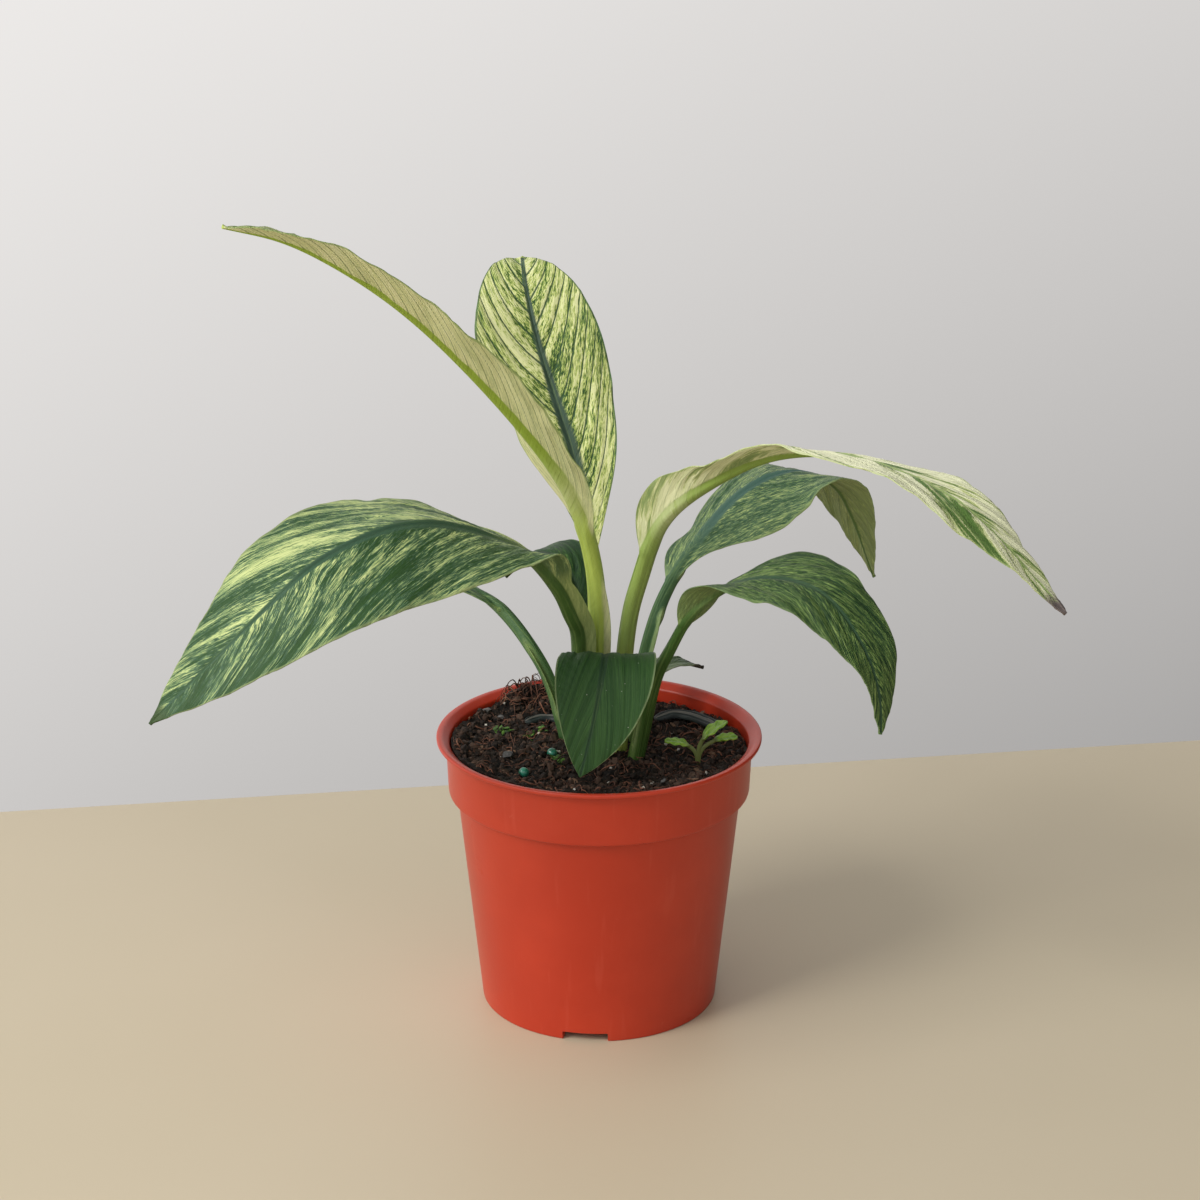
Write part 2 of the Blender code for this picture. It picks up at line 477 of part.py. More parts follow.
def soil(collection, cutters):
    """The soil: fills the pot to a small gap, with a rough top and a plain hole for each stalk."""
    body_slope = (BODY_TOP_RADIUS - BASE_RADIUS) / (COLLAR_LOW_Z - 1.0)
    low = FOOT_HEIGHT + FLOOR_THICKNESS + FIT_GAP
    base = BASE_RADIUS + body_slope * low - WALL - FIT_GAP - 0.9
    wall = [(base, low), (BODY_TOP_RADIUS - WALL - FIT_GAP, COLLAR_LOW_Z - 1.3),
            (COLLAR_LOW_RADIUS - WALL - FIT_GAP, COLLAR_LOW_Z + 1.9)]
    turn = np.radians(np.arange(POT_STEPS) * 360 / POT_STEPS)
    points = [(0.0, 0.0, low)]
    rows = [np.zeros(POT_STEPS, int)]
    for radius, z in wall:
        rows.append(np.arange(POT_STEPS) + len(points))
        points += [(radius * np.cos(v), radius * np.sin(v), z) for v in turn]
    edge = COLLAR_TOP_RADIUS - WALL - FIT_GAP - 0.2
    for share in SOIL_RINGS:
        x, y = edge * share * np.cos(turn), edge * share * np.sin(turn)
        drop = 0.6 * ease((share - 0.92) / 0.08)
        rows.append(np.arange(POT_STEPS) + len(points))
        points += np.stack([x, y, np.minimum(ground(x, y), SOIL_LIMIT) - drop], axis=-1).tolist()
    rows.append(np.full(POT_STEPS, len(points)))
    points.append((0.0, 0.0, float(ground(np.array(0.0), np.array(0.0)))))
    faces = []
    for lower, higher in zip(rows[:-1], rows[1:]):
        for k in range(POT_STEPS):
            n = (k + 1) % POT_STEPS
            ring = list(dict.fromkeys([lower[k], lower[n], higher[n], higher[k]]))
            faces += [ring] if len(ring) == 3 else [ring[:3], [ring[0], ring[2], ring[3]]]
    body = loft("soil", points, faces, collection,
                material("soil_peat", SOIL_COLOR, SOIL_ROUGHNESS))

    for name, leaf in LEAVES.items():
        line = curve_through(leaf["path"])
        line = line[line[:, 2] < SOIL_TOP + HOLE_REACH]
        line = line[:: len(line) // HOLE_STATIONS]
        line[0, 2] = HOLE_FLOOR
        radius = leaf["rib"][0][1] + BLADE_THICKNESS / 2 + HOLE_GAP
        cut(body, rod(name + "_hole_cutter", line, radius, cutters))
    x, y, z = SEEDLING_FOOT
    place = (x, y, z + SEEDLING_HOLE_DEPTH / 2 - FIT_GAP)
    cut(body, primitive("seedling_hole_cutter", bmesh.ops.create_cone, cutters, place, 0.0, cap_ends=True,
                        segments=SEEDLING_HOLE_SEGMENTS, radius1=SEEDLING_HOLE_RADIUS * MM,
                        radius2=SEEDLING_HOLE_RADIUS * MM, depth=SEEDLING_HOLE_DEPTH * MM))
    for number, (x, y) in enumerate(PRILLS):
        z = float(ground(np.array(x), np.array(y))) + PRILL_LIFT
        cut(body, primitive(f"prill_{number}", bmesh.ops.create_uvsphere, cutters, (x, y, z), 0.0,
                            u_segments=10, v_segments=8, radius=PRILL_RADIUS * MM), "UNION")


def old_leaves(collection):
    """Two dark dead leaf straps that lie just over the soil."""
    made = material("old_leaf_dark", OLD_LEAF_COLOR, OLD_LEAF_ROUGHNESS)
    edge_thickness, middle_thickness = OLD_LEAF_THICKNESS
    for name, strap in OLD_LEAVES.items():
        flat = np.asarray(strap["path"], float)
        line = curve_through(np.column_stack([flat, 0 * flat[:, 0]]))[::26]
        ahead = np.gradient(line, axis=0)
        ahead /= np.linalg.norm(ahead, axis=1)[:, None]
        side = np.stack([-ahead[:, 1], ahead[:, 0], 0 * ahead[:, 0]], axis=-1)
        s = np.linspace(0, 1, len(line))
        half = strap["half"] * np.sqrt(np.clip(1 - (2 * s - 1) ** 4, 0.08, 1))
        across = np.linspace(-1, 1, 5)
        sheet = line[:, None] + side[:, None] * (half[:, None] * across)[..., None]
        sheet[..., 2] = ground(sheet[..., 0], sheet[..., 1]).max() + OLD_LEAF_LIFT
        arch = np.sqrt(np.clip(1 - across ** 2, 0, 1)) * (half / strap["half"])[:, None]
        thick = edge_thickness + (middle_thickness - edge_thickness) * arch
        lower = sheet - np.array([0, 0, OLD_LEAF_BELLY])
        upper = lower + np.stack([0 * thick, 0 * thick, thick], axis=-1)
        points, faces = closed_strip(upper, lower)
        loft(name, points, faces, collection, made)


def seedling(collection, cutters):
    """The self-sown seedling: three thin stems with their leaves, joined at one foot."""
    made = material("seedling_green", SEEDLING_COLOR, SEEDLING_ROUGHNESS)
    stems = []
    for number, stem in enumerate(SEEDLING):
        leaf = dict(path=stem["path"], side=stem["side"], blade=stem["blade"],
                    half=(stem["half"], stem["half"]), widest=.5, full=1.0, roll=[(0, 0)],
                    rib=[(0, .75), (.5, .55), (1, .35)], wing=([(0, 0)], [(0, 0)]),
                    fold=([(.5, 0), (.7, 12)], [(.5, 0), (.7, 12)]), wave=((.2, 2, 0), (.2, 2, .4)))
        points, faces = closed_strip(*leaf_surface(leaf, *SEEDLING_MESH))
        home = collection if number == 0 else cutters
        part = "seedling" if number == 0 else f"seedling_stem_{number}"
        stems.append(loft(part, points, faces, home, made))
    for other in stems[1:]:
        cut(stems[0], other, "UNION")


def build():
    """Make every piece, each in its place on the pot's axis."""
    clear()
    parts = bpy.data.collections.new("potted_peace_lily")
    cutters = bpy.data.collections.new("cutters")
    bpy.context.scene.collection.children.link(parts)
    bpy.context.scene.collection.children.link(cutters)
    cutters.hide_render = True
    axis = bpy.data.objects.new(AXIS_NAME, None)
    axis.location = (AXIS_X * MM, AXIS_Y * MM, 0.0)
    parts.objects.link(axis)
    pot(parts, cutters)
    soil(parts, cutters)
    leaves(parts)
    old_leaves(parts)
    seedling(parts, cutters)


build()
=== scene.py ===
"""A variegated peace lily in its nursery pot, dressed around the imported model.

Pieces are worked out in mm about the pot's axis, with the floor at z = 0, and placed in metres.
"""
import math
import bmesh
import bpy
import mathutils
import numpy as np
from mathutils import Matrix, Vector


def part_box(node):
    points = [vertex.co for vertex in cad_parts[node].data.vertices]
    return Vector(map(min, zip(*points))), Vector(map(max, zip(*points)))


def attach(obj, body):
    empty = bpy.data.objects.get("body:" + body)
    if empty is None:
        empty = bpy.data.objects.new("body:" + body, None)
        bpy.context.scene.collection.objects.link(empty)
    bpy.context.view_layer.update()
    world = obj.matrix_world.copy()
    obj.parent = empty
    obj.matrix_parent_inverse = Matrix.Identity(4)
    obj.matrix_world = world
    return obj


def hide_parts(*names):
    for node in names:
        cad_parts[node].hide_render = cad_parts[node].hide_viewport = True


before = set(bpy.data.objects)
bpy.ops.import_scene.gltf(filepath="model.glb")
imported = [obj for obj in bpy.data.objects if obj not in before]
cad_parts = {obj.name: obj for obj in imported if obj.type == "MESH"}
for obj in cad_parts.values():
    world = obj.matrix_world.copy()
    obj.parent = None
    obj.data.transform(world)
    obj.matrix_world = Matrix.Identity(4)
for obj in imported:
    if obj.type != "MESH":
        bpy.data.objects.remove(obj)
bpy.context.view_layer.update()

# Pot.  The real one is a single injection moulding in red-brown polypropylene, with a satin skin.  A
# tapered cup carries a wider collar and a flat lip, and stands on a foot ring with three notches.

MM = 0.001
pot_low, pot_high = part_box("pot")
POT_AXIS = np.array([(pot_low.x + pot_high.x) / 2, (pot_low.y + pot_high.y) / 2, 0.0])
POT_HEIGHT = 94.0
RIM_RADIUS = 54.0
LIP_INNER_RADIUS = 52.2
COLLAR_TOP_RADIUS = 50.9
COLLAR_LOW_RADIUS = 50.2
COLLAR_LOW_Z = 74.6
BODY_TOP_RADIUS = 47.3
BASE_RADIUS = 39.6
WALL = 1.3
FOOT_HEIGHT = 3.0
FOOT_WIDTH = 2.4
FLOOR_TOP = 4.4
NOTCH_WIDTH = 15.0
NOTCH_BEARINGS = np.radians([-96.7, 23.3, 143.3])
FLOOR_MIDDLE_RADIUS = 33.0


class Value:
    """One socket's value in a finish.  The operators add Math nodes to the finish's tree."""

    def __init__(self, finish, socket):
        self.finish = finish
        self.socket = socket

    def math(self, operation, *values):
        return self.finish.node("ShaderNodeMath", {"operation": operation}, dict(enumerate(values)))

    def __add__(self, other):
        return self.math("ADD", self, other)

    def __sub__(self, other):
        return self.math("SUBTRACT", self, other)

    def __rsub__(self, other):
        return self.math("SUBTRACT", other, self)

    def __mul__(self, other):
        return self.math("MULTIPLY", self, other)

    def __truediv__(self, other):
        return self.math("DIVIDE", self, other)

    __radd__ = __add__
    __rmul__ = __mul__

    def __abs__(self):
        return self.math("ABSOLUTE", self)

    def larger(self, other):
        return self.math("MAXIMUM", self, other)

    def fraction(self):
        return self.math("FRACT", self)

    def rise(self, low, high):
        """0 below low, 1 above high and a smooth step between them; low may be the larger one."""
        return self.finish.node("ShaderNodeMapRange", {"interpolation_type": "SMOOTHSTEP"},
                                {0: self, 1: low, 2: high, 3: 0.0, 4: 1.0})


class Finish:
    """One finish: a material's tree round its Principled shader, with the values that never vary."""

    def __init__(self, name, **constants):
        self.material = bpy.data.materials.new(name)
        self.material.use_nodes = True
        self.tree = self.material.node_tree
        self.shader = self.tree.nodes["Principled BSDF"]
        for label, value in constants.items():
            self.shader.inputs[label.replace("_", " ").title().replace("Ior", "IOR")].default_value = value

    def set(self, socket, value):
        """Link a Value to a socket, or write a number or a colour into it."""
        if isinstance(value, Value):
            self.tree.links.new(value.socket, socket)
        elif socket.type == "RGBA":
            socket.default_value = (*value[:3], 1.0)
        else:
            socket.default_value = value

    def node(self, kind, settings=None, inputs=None, output=0):
        """Any node: its settings are set first, then its sockets by number or name."""
        made = self.tree.nodes.new(kind)
        settings = dict(settings or {})
        for number, (place, color) in enumerate(settings.pop("stops", [])):
            elements = made.color_ramp.elements
            stop = elements[number] if number < 2 else elements.new(place)
            stop.position = place
            stop.color = (*color, 1.0)
        for key, value in settings.items():
            setattr(made, key, value)
        for key, value in (inputs or {}).items():
            self.set(made.inputs[key], value)
        return Value(self, made.outputs[output])

    def place(self):
        """Where a point of the piece lies, in metres."""
        return self.node("ShaderNodeTexCoord", output="Object")

    def reading(self, label):
        """The piece's own number of that name at a point, such as how far along the leaf it lies."""
        return self.node("ShaderNodeAttribute", {"attribute_name": label}, output="Fac")

    def vector(self, x, y, z):
        return self.node("ShaderNodeCombineXYZ", None, {0: x, 1: y, 2: z})

    def noise(self, vector, scale, detail=3.0, roughness=0.55):
        """Cloudy noise from about 0.25 to 0.75."""
        return self.node("ShaderNodeTexNoise", None,
                         {"Vector": vector, "Scale": scale, "Detail": detail, "Roughness": roughness})

    def mix(self, factor, first, second):
        """The first colour where the factor is 0 and the second where it is 1."""
        return self.node("ShaderNodeMix", {"data_type": "RGBA"}, {0: factor, 6: first, 7: second}, output=2)

    def surface(self, color, roughness, height=None, strength=0.3, distance=0.0003):
        """Feed the shader: colour, roughness and a bump from a height."""
        self.set(self.shader.inputs["Base Color"], color)
        self.set(self.shader.inputs["Roughness"], roughness)
        if height is not None:
            bump = self.node("ShaderNodeBump", None, {"Strength": strength, "Distance": distance,
                                                      "Height": height})
            self.set(self.shader.inputs["Normal"], bump)
        return self


def make_piece(name, points, faces, finish, nodes=(), readings=None, sharp=50.0):
    """Put a shell in the scene, from points in mm about the pot's axis, and let it ride on the plant."""
    mesh = bpy.data.meshes.new(name)
    placed = points * MM + POT_AXIS
    mesh.from_pydata(placed.tolist(), [], faces)
    for label, column in (readings or {}).items():
        mesh.attributes.new(label, "FLOAT", "POINT").data.foreach_set("value", column.astype(np.float32))
    shell = bmesh.new()
    shell.from_mesh(mesh)
    bmesh.ops.remove_doubles(shell, verts=shell.verts, dist=0.000001)
    bmesh.ops.recalc_face_normals(shell, faces=shell.faces)
    shell.to_mesh(mesh)
    shell.free()
    mesh.shade_smooth()
    mesh.set_sharp_from_angle(angle=math.radians(sharp))
    mesh.materials.append(finish.material)
    made = bpy.data.objects.new(name, mesh)
    bpy.context.scene.collection.objects.link(made)
    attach(made, "root")
    if nodes:
        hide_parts(*nodes)
    return made


def grid_faces(rows, columns, wrap=False, flip=False, start=0):
    """Quads of a grid of points stored row after row; wrap joins its last column to its first."""
    index = np.arange(rows * columns).reshape(rows, columns) + start
    right = np.roll(index, -1, axis=1) if wrap else index[:, 1:]
    left = index if wrap else index[:, :-1]
    ring = [left[:-1], right[:-1], right[1:], left[1:]]
    return np.stack(ring[::-1] if flip else ring, axis=-1).reshape(-1, 4).tolist()


def rounded(corners, radius, steps=4):
    """A profile whose inner corners are replaced by quadratic curves that start radius before each."""
    points = [corners[0]]
    for before, corner, after in zip(corners[:-2], corners[1:-1], corners[2:]):
        before, corner, after = np.array(before), np.array(corner), np.array(after)
        span_in, span_out = np.linalg.norm(corner - before), np.linalg.norm(after - corner)
        reach = min(radius, span_in * 0.45, span_out * 0.45)
        start = corner + (before - corner) * reach / span_in
        end = corner + (after - corner) * reach / span_out
        u = np.linspace(0, 1, steps + 1)[:, None]
        points += ((1 - u) ** 2 * start + 2 * u * (1 - u) * corner + u ** 2 * end).tolist()
    return np.array(points + [corners[-1]])


def turned(profile, bearings):
    """A profile (radius, z) turned through the bearings, as a grid of points: (profile, bearings, 3)."""
    x = profile[:, :1] * np.cos(bearings)
    y = profile[:, :1] * np.sin(bearings)
    return np.stack([x, y, 0 * x + profile[:, 1:]], axis=-1)


def pot_finish():
    """Satin red-brown plastic: cloudy colour, a fine orange peel, dusty streaks and pale scuffs."""
    made = Finish("pot_plastic", specular_ior_level=0.45, coat_roughness=0.25, coat_weight=0.06)
    place = made.place()
    cloud = made.noise(place, 22.0, 4.0)
    grain = made.noise(place, 900.0, 2.0)
    stretched = made.node("ShaderNodeMapping", None, {"Vector": place, "Scale": (1.0, 1.0, 0.06)})
    streak = made.noise(stretched, 260.0, 2.0)
    color = made.mix(cloud.rise(0.35, 0.7), (0.47, 0.031, 0.008), (0.53, 0.040, 0.012))
    color = made.mix(streak.rise(0.60, 0.74) * 0.10, color, (0.68, 0.13, 0.08))
    scuff = made.noise(place, 70.0, 8.0, 0.75)
    color = made.mix(scuff.rise(0.66, 0.72) * 0.15, color, (0.68, 0.20, 0.13))
    roughness = 0.33 + cloud * 0.12 + scuff.rise(0.6, 0.7) * 0.12
    return made.surface(color, roughness, grain * 0.5 + cloud * 1.5, 0.12, 0.0004)


body_slope = (BODY_TOP_RADIUS - BASE_RADIUS) / (COLLAR_LOW_Z - 1.0)
lip_low = POT_HEIGHT - 1.6
inner_base = BASE_RADIUS + body_slope * FLOOR_TOP - WALL
outer_wall = rounded([
    (BASE_RADIUS + body_slope * FOOT_HEIGHT, FOOT_HEIGHT), (BODY_TOP_RADIUS, COLLAR_LOW_Z - 0.5),
    (COLLAR_LOW_RADIUS - 0.2, COLLAR_LOW_Z), (COLLAR_LOW_RADIUS, COLLAR_LOW_Z + 1.0),
    (COLLAR_TOP_RADIUS, lip_low), (RIM_RADIUS, lip_low + 0.1), (RIM_RADIUS, POT_HEIGHT),
    (LIP_INNER_RADIUS, POT_HEIGHT - 0.1), (COLLAR_TOP_RADIUS - WALL, POT_HEIGHT - 2.0),
    (COLLAR_LOW_RADIUS - WALL, COLLAR_LOW_Z + 1.2), (BODY_TOP_RADIUS - WALL, COLLAR_LOW_Z - 1.8),
    (inner_base, FLOOR_TOP), (FLOOR_MIDDLE_RADIUS, FLOOR_TOP), (0.0, FLOOR_TOP)], 0.7)
under_side = np.array([(0.0, FOOT_HEIGHT), (FLOOR_MIDDLE_RADIUS, FOOT_HEIGHT),
                       (BASE_RADIUS - FOOT_WIDTH, FOOT_HEIGHT)])
foot_ring = rounded([(BASE_RADIUS - FOOT_WIDTH, FOOT_HEIGHT), (BASE_RADIUS - FOOT_WIDTH, 0.0),
                     (BASE_RADIUS, 0.0), (BASE_RADIUS + body_slope * FOOT_HEIGHT, FOOT_HEIGHT)], 0.5)
profile = np.vstack([under_side, foot_ring[1:-1], outer_wall])
half_notch = math.asin(NOTCH_WIDTH / 2 / BASE_RADIUS)
notch_edges = np.concatenate([NOTCH_BEARINGS - half_notch, NOTCH_BEARINGS + half_notch])
bearings = np.sort(np.concatenate([np.linspace(0, 2 * np.pi, 240, endpoint=False),
                                   (notch_edges - 0.002) % (2 * np.pi),
                                   (notch_edges + 0.002) % (2 * np.pi)]))
from_notch = np.abs((bearings[:, None] - NOTCH_BEARINGS + np.pi) % (2 * np.pi) - np.pi).min(axis=1)
pot_points = turned(profile, bearings)
in_foot = np.zeros(len(profile), bool)
in_foot[len(under_side):len(under_side) + len(foot_ring) - 2] = True
in_notch = in_foot[:, None] & (from_notch < half_notch)[None, :]
pot_points[..., 2] = np.where(in_notch, FOOT_HEIGHT - 0.02, pot_points[..., 2])
make_piece("pot_shell", pot_points.reshape(-1, 3), grid_faces(len(profile), len(bearings), wrap=True),
           pot_finish(), ["pot"])

# Soil.  Dark moist peat with the roots in it fills the pot to just under the lip.  It is loose and crumbly
# on top, higher along the left and front, and heaped up over the rim's inside at the back left.

SOIL_TOP = 88.0
SOIL_EDGE = COLLAR_TOP_RADIUS - WALL - 0.5
FIT_GAP = 0.3


def ease(x):
    """Smooth step from 0 to 1."""
    x = np.clip(x, 0, 1)
    return x * x * (3 - 2 * x)


def grain(x, y, size, seed):
    """Smooth noise from -1 to 1: random heights on a square lattice of that size, eased between them."""
    table = np.random.default_rng(seed).uniform(-1, 1, (64, 64))
    column, row = np.floor(x / size).astype(int), np.floor(y / size).astype(int)
    u, v = ease(x / size - column), ease(y / size - row)
    near = table[column % 64, row % 64] * (1 - u) + table[(column + 1) % 64, row % 64] * u
    far = table[column % 64, (row + 1) % 64] * (1 - u) + table[(column + 1) % 64, (row + 1) % 64] * u
    return near * (1 - v) + far * v


def ground(x, y):
    """Height of the soil: low mounds, a rise to the left and front edge, a heap at the back left."""
    height = SOIL_TOP + 1.5 * np.exp(-(x ** 2 + y ** 2) / 20 ** 2)
    height = height + 6.0 * np.exp(-((x + 25) / 14) ** 2 - ((y - 42) / 9) ** 2)
    out = np.sqrt(x ** 2 + y ** 2 + 1e-9)
    toward_front_left = 0.5 - 0.5 * (0.64 * x + 0.77 * y) / out
    height = height + (3.0 * ease((out - 30) / 18) + 2.0 * ease((out - 43) / 6)) * toward_front_left
    height = height + 0.45 * np.sin(0.55 * x + 1.1) * np.sin(0.48 * y + 0.3)
    return height + 0.30 * np.sin(1.15 * x - 0.7 * y) + 0.25 * np.sin(1.3 * y + 0.9 * x + 2.0)


def crumbled(x, y):
    """The ground with its crumbs: three sizes of noise, the finest raised to sharp grains."""
    fine = np.abs(grain(x, y, 1.1, 5)) ** 0.7
    rough = 0.9 * grain(x, y, 6.5, 2) + 0.65 * grain(x, y, 2.7, 3) + 0.55 * fine
    edge = ease((SOIL_EDGE - np.hypot(x, y)) / 2.0)
    return np.minimum(ground(x, y), 94.5) + rough * (0.3 + 0.7 * edge) - 0.35


def soil_finish():
    """Peat: near black where it is moist, red-brown where fibres dry out on top."""
    made = Finish("soil_peat", specular_ior_level=0.25)
    place = made.place()
    cloud = made.noise(place, 60.0, 4.0)
    fine = made.noise(place, 700.0, 4.0, 0.7)
    speck = made.noise(place, 1500.0, 2.0)
    color = made.mix(cloud.rise(0.38, 0.64), (0.007, 0.006, 0.005), (0.025, 0.017, 0.012))
    color = made.mix(fine.rise(0.52, 0.68) * 0.8, color, (0.070, 0.038, 0.024))
    color = made.mix(speck.rise(0.66, 0.72) * 0.6, color, (0.16, 0.10, 0.065))
    return made.surface(color, 0.86 - cloud.rise(0.3, 0.6) * 0.12, fine + speck * 0.5, 0.8, 0.0006)


SOIL_COLUMNS = 340
soil_turn = np.linspace(0, 2 * np.pi, SOIL_COLUMNS, endpoint=False)
soil_wall = np.array([
    (0.0, FLOOR_TOP + FIT_GAP), (inner_base - FIT_GAP - 0.9, FLOOR_TOP + FIT_GAP),
    (BODY_TOP_RADIUS - WALL - FIT_GAP, COLLAR_LOW_Z - 1.3),
    (COLLAR_LOW_RADIUS - WALL - FIT_GAP, COLLAR_LOW_Z + 1.9)])
share = 1 - np.linspace(0, 1, 110) ** 1.1
soil_x = SOIL_EDGE * share[:, None] * np.cos(soil_turn)
soil_y = SOIL_EDGE * share[:, None] * np.sin(soil_turn)
soil_points = np.vstack([turned(soil_wall, soil_turn),
                         np.stack([soil_x, soil_y, crumbled(soil_x, soil_y)], axis=-1)])
make_piece("soil_bed", soil_points.reshape(-1, 3),
           grid_faces(len(soil_points), SOIL_COLUMNS, wrap=True), soil_finish(), ["soil"])

# Soil crumbs, bark and fibres.  Bits of peat, composted bark and coir lie loose on the bed and catch the
# light.  White perlite, two slow-release feed prills and a few stones are mixed in by the grower.

STALK_FEET = np.array([(-2, -2), (0, 7), (-8, -5), (-12, 8), (-5, 11), (6, -4), (9, 7), (11, -10), (0, -11),
                       (9, 17), (32.5, -12.5)])


def scattered(count, seed, clear=3.4, reach=0.975):
    """Random places on the bed, evenly spread, that keep clear of the stalks."""
    rng = np.random.default_rng(seed)
    out = SOIL_EDGE * reach * np.sqrt(rng.uniform(0, 1, count * 2))
    around = rng.uniform(0, 2 * np.pi, count * 2)
    spots = np.stack([out * np.cos(around), out * np.sin(around)], axis=-1)
    apart = np.linalg.norm(spots[:, None] - STALK_FEET[None], axis=2).min(axis=1)
    return spots[apart > clear][:count]


def turns(rng, count, lean=np.pi):
    """Random turning matrices: any bearing, tipped by up to the lean."""
    a = rng.uniform(0, 2 * np.pi, count)
    b, c = rng.uniform(-lean, lean, count), rng.uniform(-lean, lean, count)
    zero, one = np.zeros(count), np.ones(count)
    z = np.array([[np.cos(a), -np.sin(a), zero], [np.sin(a), np.cos(a), zero], [zero, zero, one]])
    y = np.array([[np.cos(b), zero, np.sin(b)], [zero, one, zero], [-np.sin(b), zero, np.cos(b)]])
    x = np.array([[one, zero, zero], [zero, np.cos(c), -np.sin(c)], [zero, np.sin(c), np.cos(c)]])
    return np.einsum("ijn,jkn,kln->nil", z, y, x)


GOLDEN = (1 + 5 ** 0.5) / 2
LUMP = np.array([(-1, GOLDEN, 0), (1, GOLDEN, 0), (-1, -GOLDEN, 0), (1, -GOLDEN, 0), (0, -1, GOLDEN),
                 (0, 1, GOLDEN), (0, -1, -GOLDEN), (0, 1, -GOLDEN), (GOLDEN, 0, -1), (GOLDEN, 0, 1),
                 (-GOLDEN, 0, -1), (-GOLDEN, 0, 1)]) / math.hypot(1, GOLDEN)
LUMP_FACES = np.array([(0, 11, 5), (0, 5, 1), (0, 1, 7), (0, 7, 10), (0, 10, 11), (1, 5, 9), (5, 11, 4),
                       (11, 10, 2), (10, 7, 6), (7, 1, 8), (3, 9, 4), (3, 4, 2), (3, 2, 6), (3, 6, 8),
                       (3, 8, 9), (4, 9, 5), (2, 4, 11), (6, 2, 10), (8, 6, 7), (9, 8, 1)])


def lumps(spots, sizes, seed, jitter=0.28, sink=0.25, lean=np.pi):
    """Broken lumps: a 20-sided ball per spot, its corners moved in or out, stretched and turned."""
    rng = np.random.default_rng(seed)
    count = len(spots)
    ball = LUMP[None] * (1 + rng.uniform(-jitter, jitter, (count, 12, 1)))
    ball = np.einsum("nij,nkj->nki", turns(rng, count, lean), ball * sizes[:, None])
    z = spots[:, 2] if spots.shape[1] == 3 else crumbled(spots[:, 0], spots[:, 1])
    middle = np.column_stack([spots[:, :2], z + sizes.min(axis=1) * (1 - 2 * sink)])
    points = (ball + middle[:, None]).reshape(-1, 3)
    faces = (LUMP_FACES[None] + 12 * np.arange(count)[:, None, None]).reshape(-1, 3)
    tone = np.repeat(rng.uniform(0, 1, count), 12)
    return points, faces.tolist(), {"tone": tone}


def tubes(paths, radii, sides=4):
    """Round tubes along paths (number, stations, 3), thinner to both ends, with closed ends."""
    ahead = np.gradient(paths, axis=1)
    ahead /= np.linalg.norm(ahead, axis=2)[..., None]
    one = np.cross(ahead, (0.31, 0.17, 0.94))
    one /= np.linalg.norm(one, axis=2)[..., None]
    two = np.cross(ahead, one)
    turn = np.linspace(0, 2 * np.pi, sides, endpoint=False)[None, None, :, None]
    count, stations = paths.shape[:2]
    taper = np.sqrt(np.clip(1 - np.linspace(-1, 1, stations) ** 4, 0.05, 1))
    radius = radii[:, None, None, None] * taper[None, :, None, None]
    rings = paths[:, :, None] + radius * (one[:, :, None] * np.cos(turn) + two[:, :, None] * np.sin(turn))
    faces = np.array(grid_faces(stations, sides, wrap=True))
    faces = (faces[None] + stations * sides * np.arange(count)[:, None, None]).reshape(-1, 4).tolist()
    ends = np.arange(sides)
    for first in np.arange(count) * stations * sides:
        faces += [(first + ends[::-1]).tolist(), (first + (stations - 1) * sides + ends).tolist()]
    return rings.reshape(-1, 3), faces


def toned_finish(name, dark, light, roughness, bumpiness=0.5):
    """A loose bit's finish: each has its own tone between dark and light, with a fine grain."""
    made = Finish(name, specular_ior_level=0.3)
    place = made.place()
    fine = made.noise(place, 1200.0, 3.0)
    color = made.mix(made.reading("tone") * 0.85 + fine.rise(0.4, 0.65) * 0.3, dark, light)
    return made.surface(color, roughness, fine, bumpiness, 0.0004)


rng = np.random.default_rng(11)
crumb_spots = scattered(2600, 21, 3.0)
crumb_sizes = rng.gamma(3.0, 0.20, (len(crumb_spots), 1)) * rng.uniform(0.65, 1.3, (len(crumb_spots), 3))
crumb_points, crumb_faces, crumb_tone = lumps(crumb_spots, np.clip(crumb_sizes, 0.2, 1.7), 22)
crumb_tone["tone"] = crumb_tone["tone"] ** 2.2
make_piece("soil_crumbs", crumb_points, crumb_faces,
           toned_finish("peat_crumb", (0.008, 0.007, 0.006), (0.085, 0.050, 0.034), 0.85),
           readings=crumb_tone, sharp=25.0)

bark_spots = scattered(230, 31, 3.6)
bark_sizes = rng.uniform(0.5, 1.0, (len(bark_spots), 1)) * np.array([[2.1, 1.0, 0.38]])
bark_points, bark_faces, bark_tone = lumps(bark_spots, bark_sizes, 32, 0.22, 0.15, 0.45)
bark_tone["tone"] = bark_tone["tone"] ** 1.6
make_piece("soil_bark", bark_points, bark_faces,
           toned_finish("bark_chip", (0.020, 0.013, 0.010), (0.22, 0.125, 0.075), 0.8),
           readings=bark_tone, sharp=25.0)


def fibre_paths(spots, rng, length, lift, stations=9):
    """Bent fibres that start at the spots: their bearing turns along them, and they rise and fall."""
    count = len(spots)
    bearing = rng.uniform(0, 2 * np.pi, count)[:, None]
    bearing = bearing + rng.normal(0, 1.3, count)[:, None] * np.linspace(-1, 1, stations)
    step = rng.uniform(*length, count)[:, None] / stations
    x = spots[:, :1] + np.cumsum(np.cos(bearing) * step, axis=1)
    y = spots[:, 1:2] + np.cumsum(np.sin(bearing) * step, axis=1)
    inside = np.minimum(1, SOIL_EDGE * 0.985 / np.hypot(x, y))
    x, y = x * inside, y * inside
    rise = rng.uniform(*lift, count)[:, None] * np.sin(np.linspace(0, np.pi, stations))
    return np.stack([x, y, crumbled(x, y) + 0.25 + rise], axis=-1)


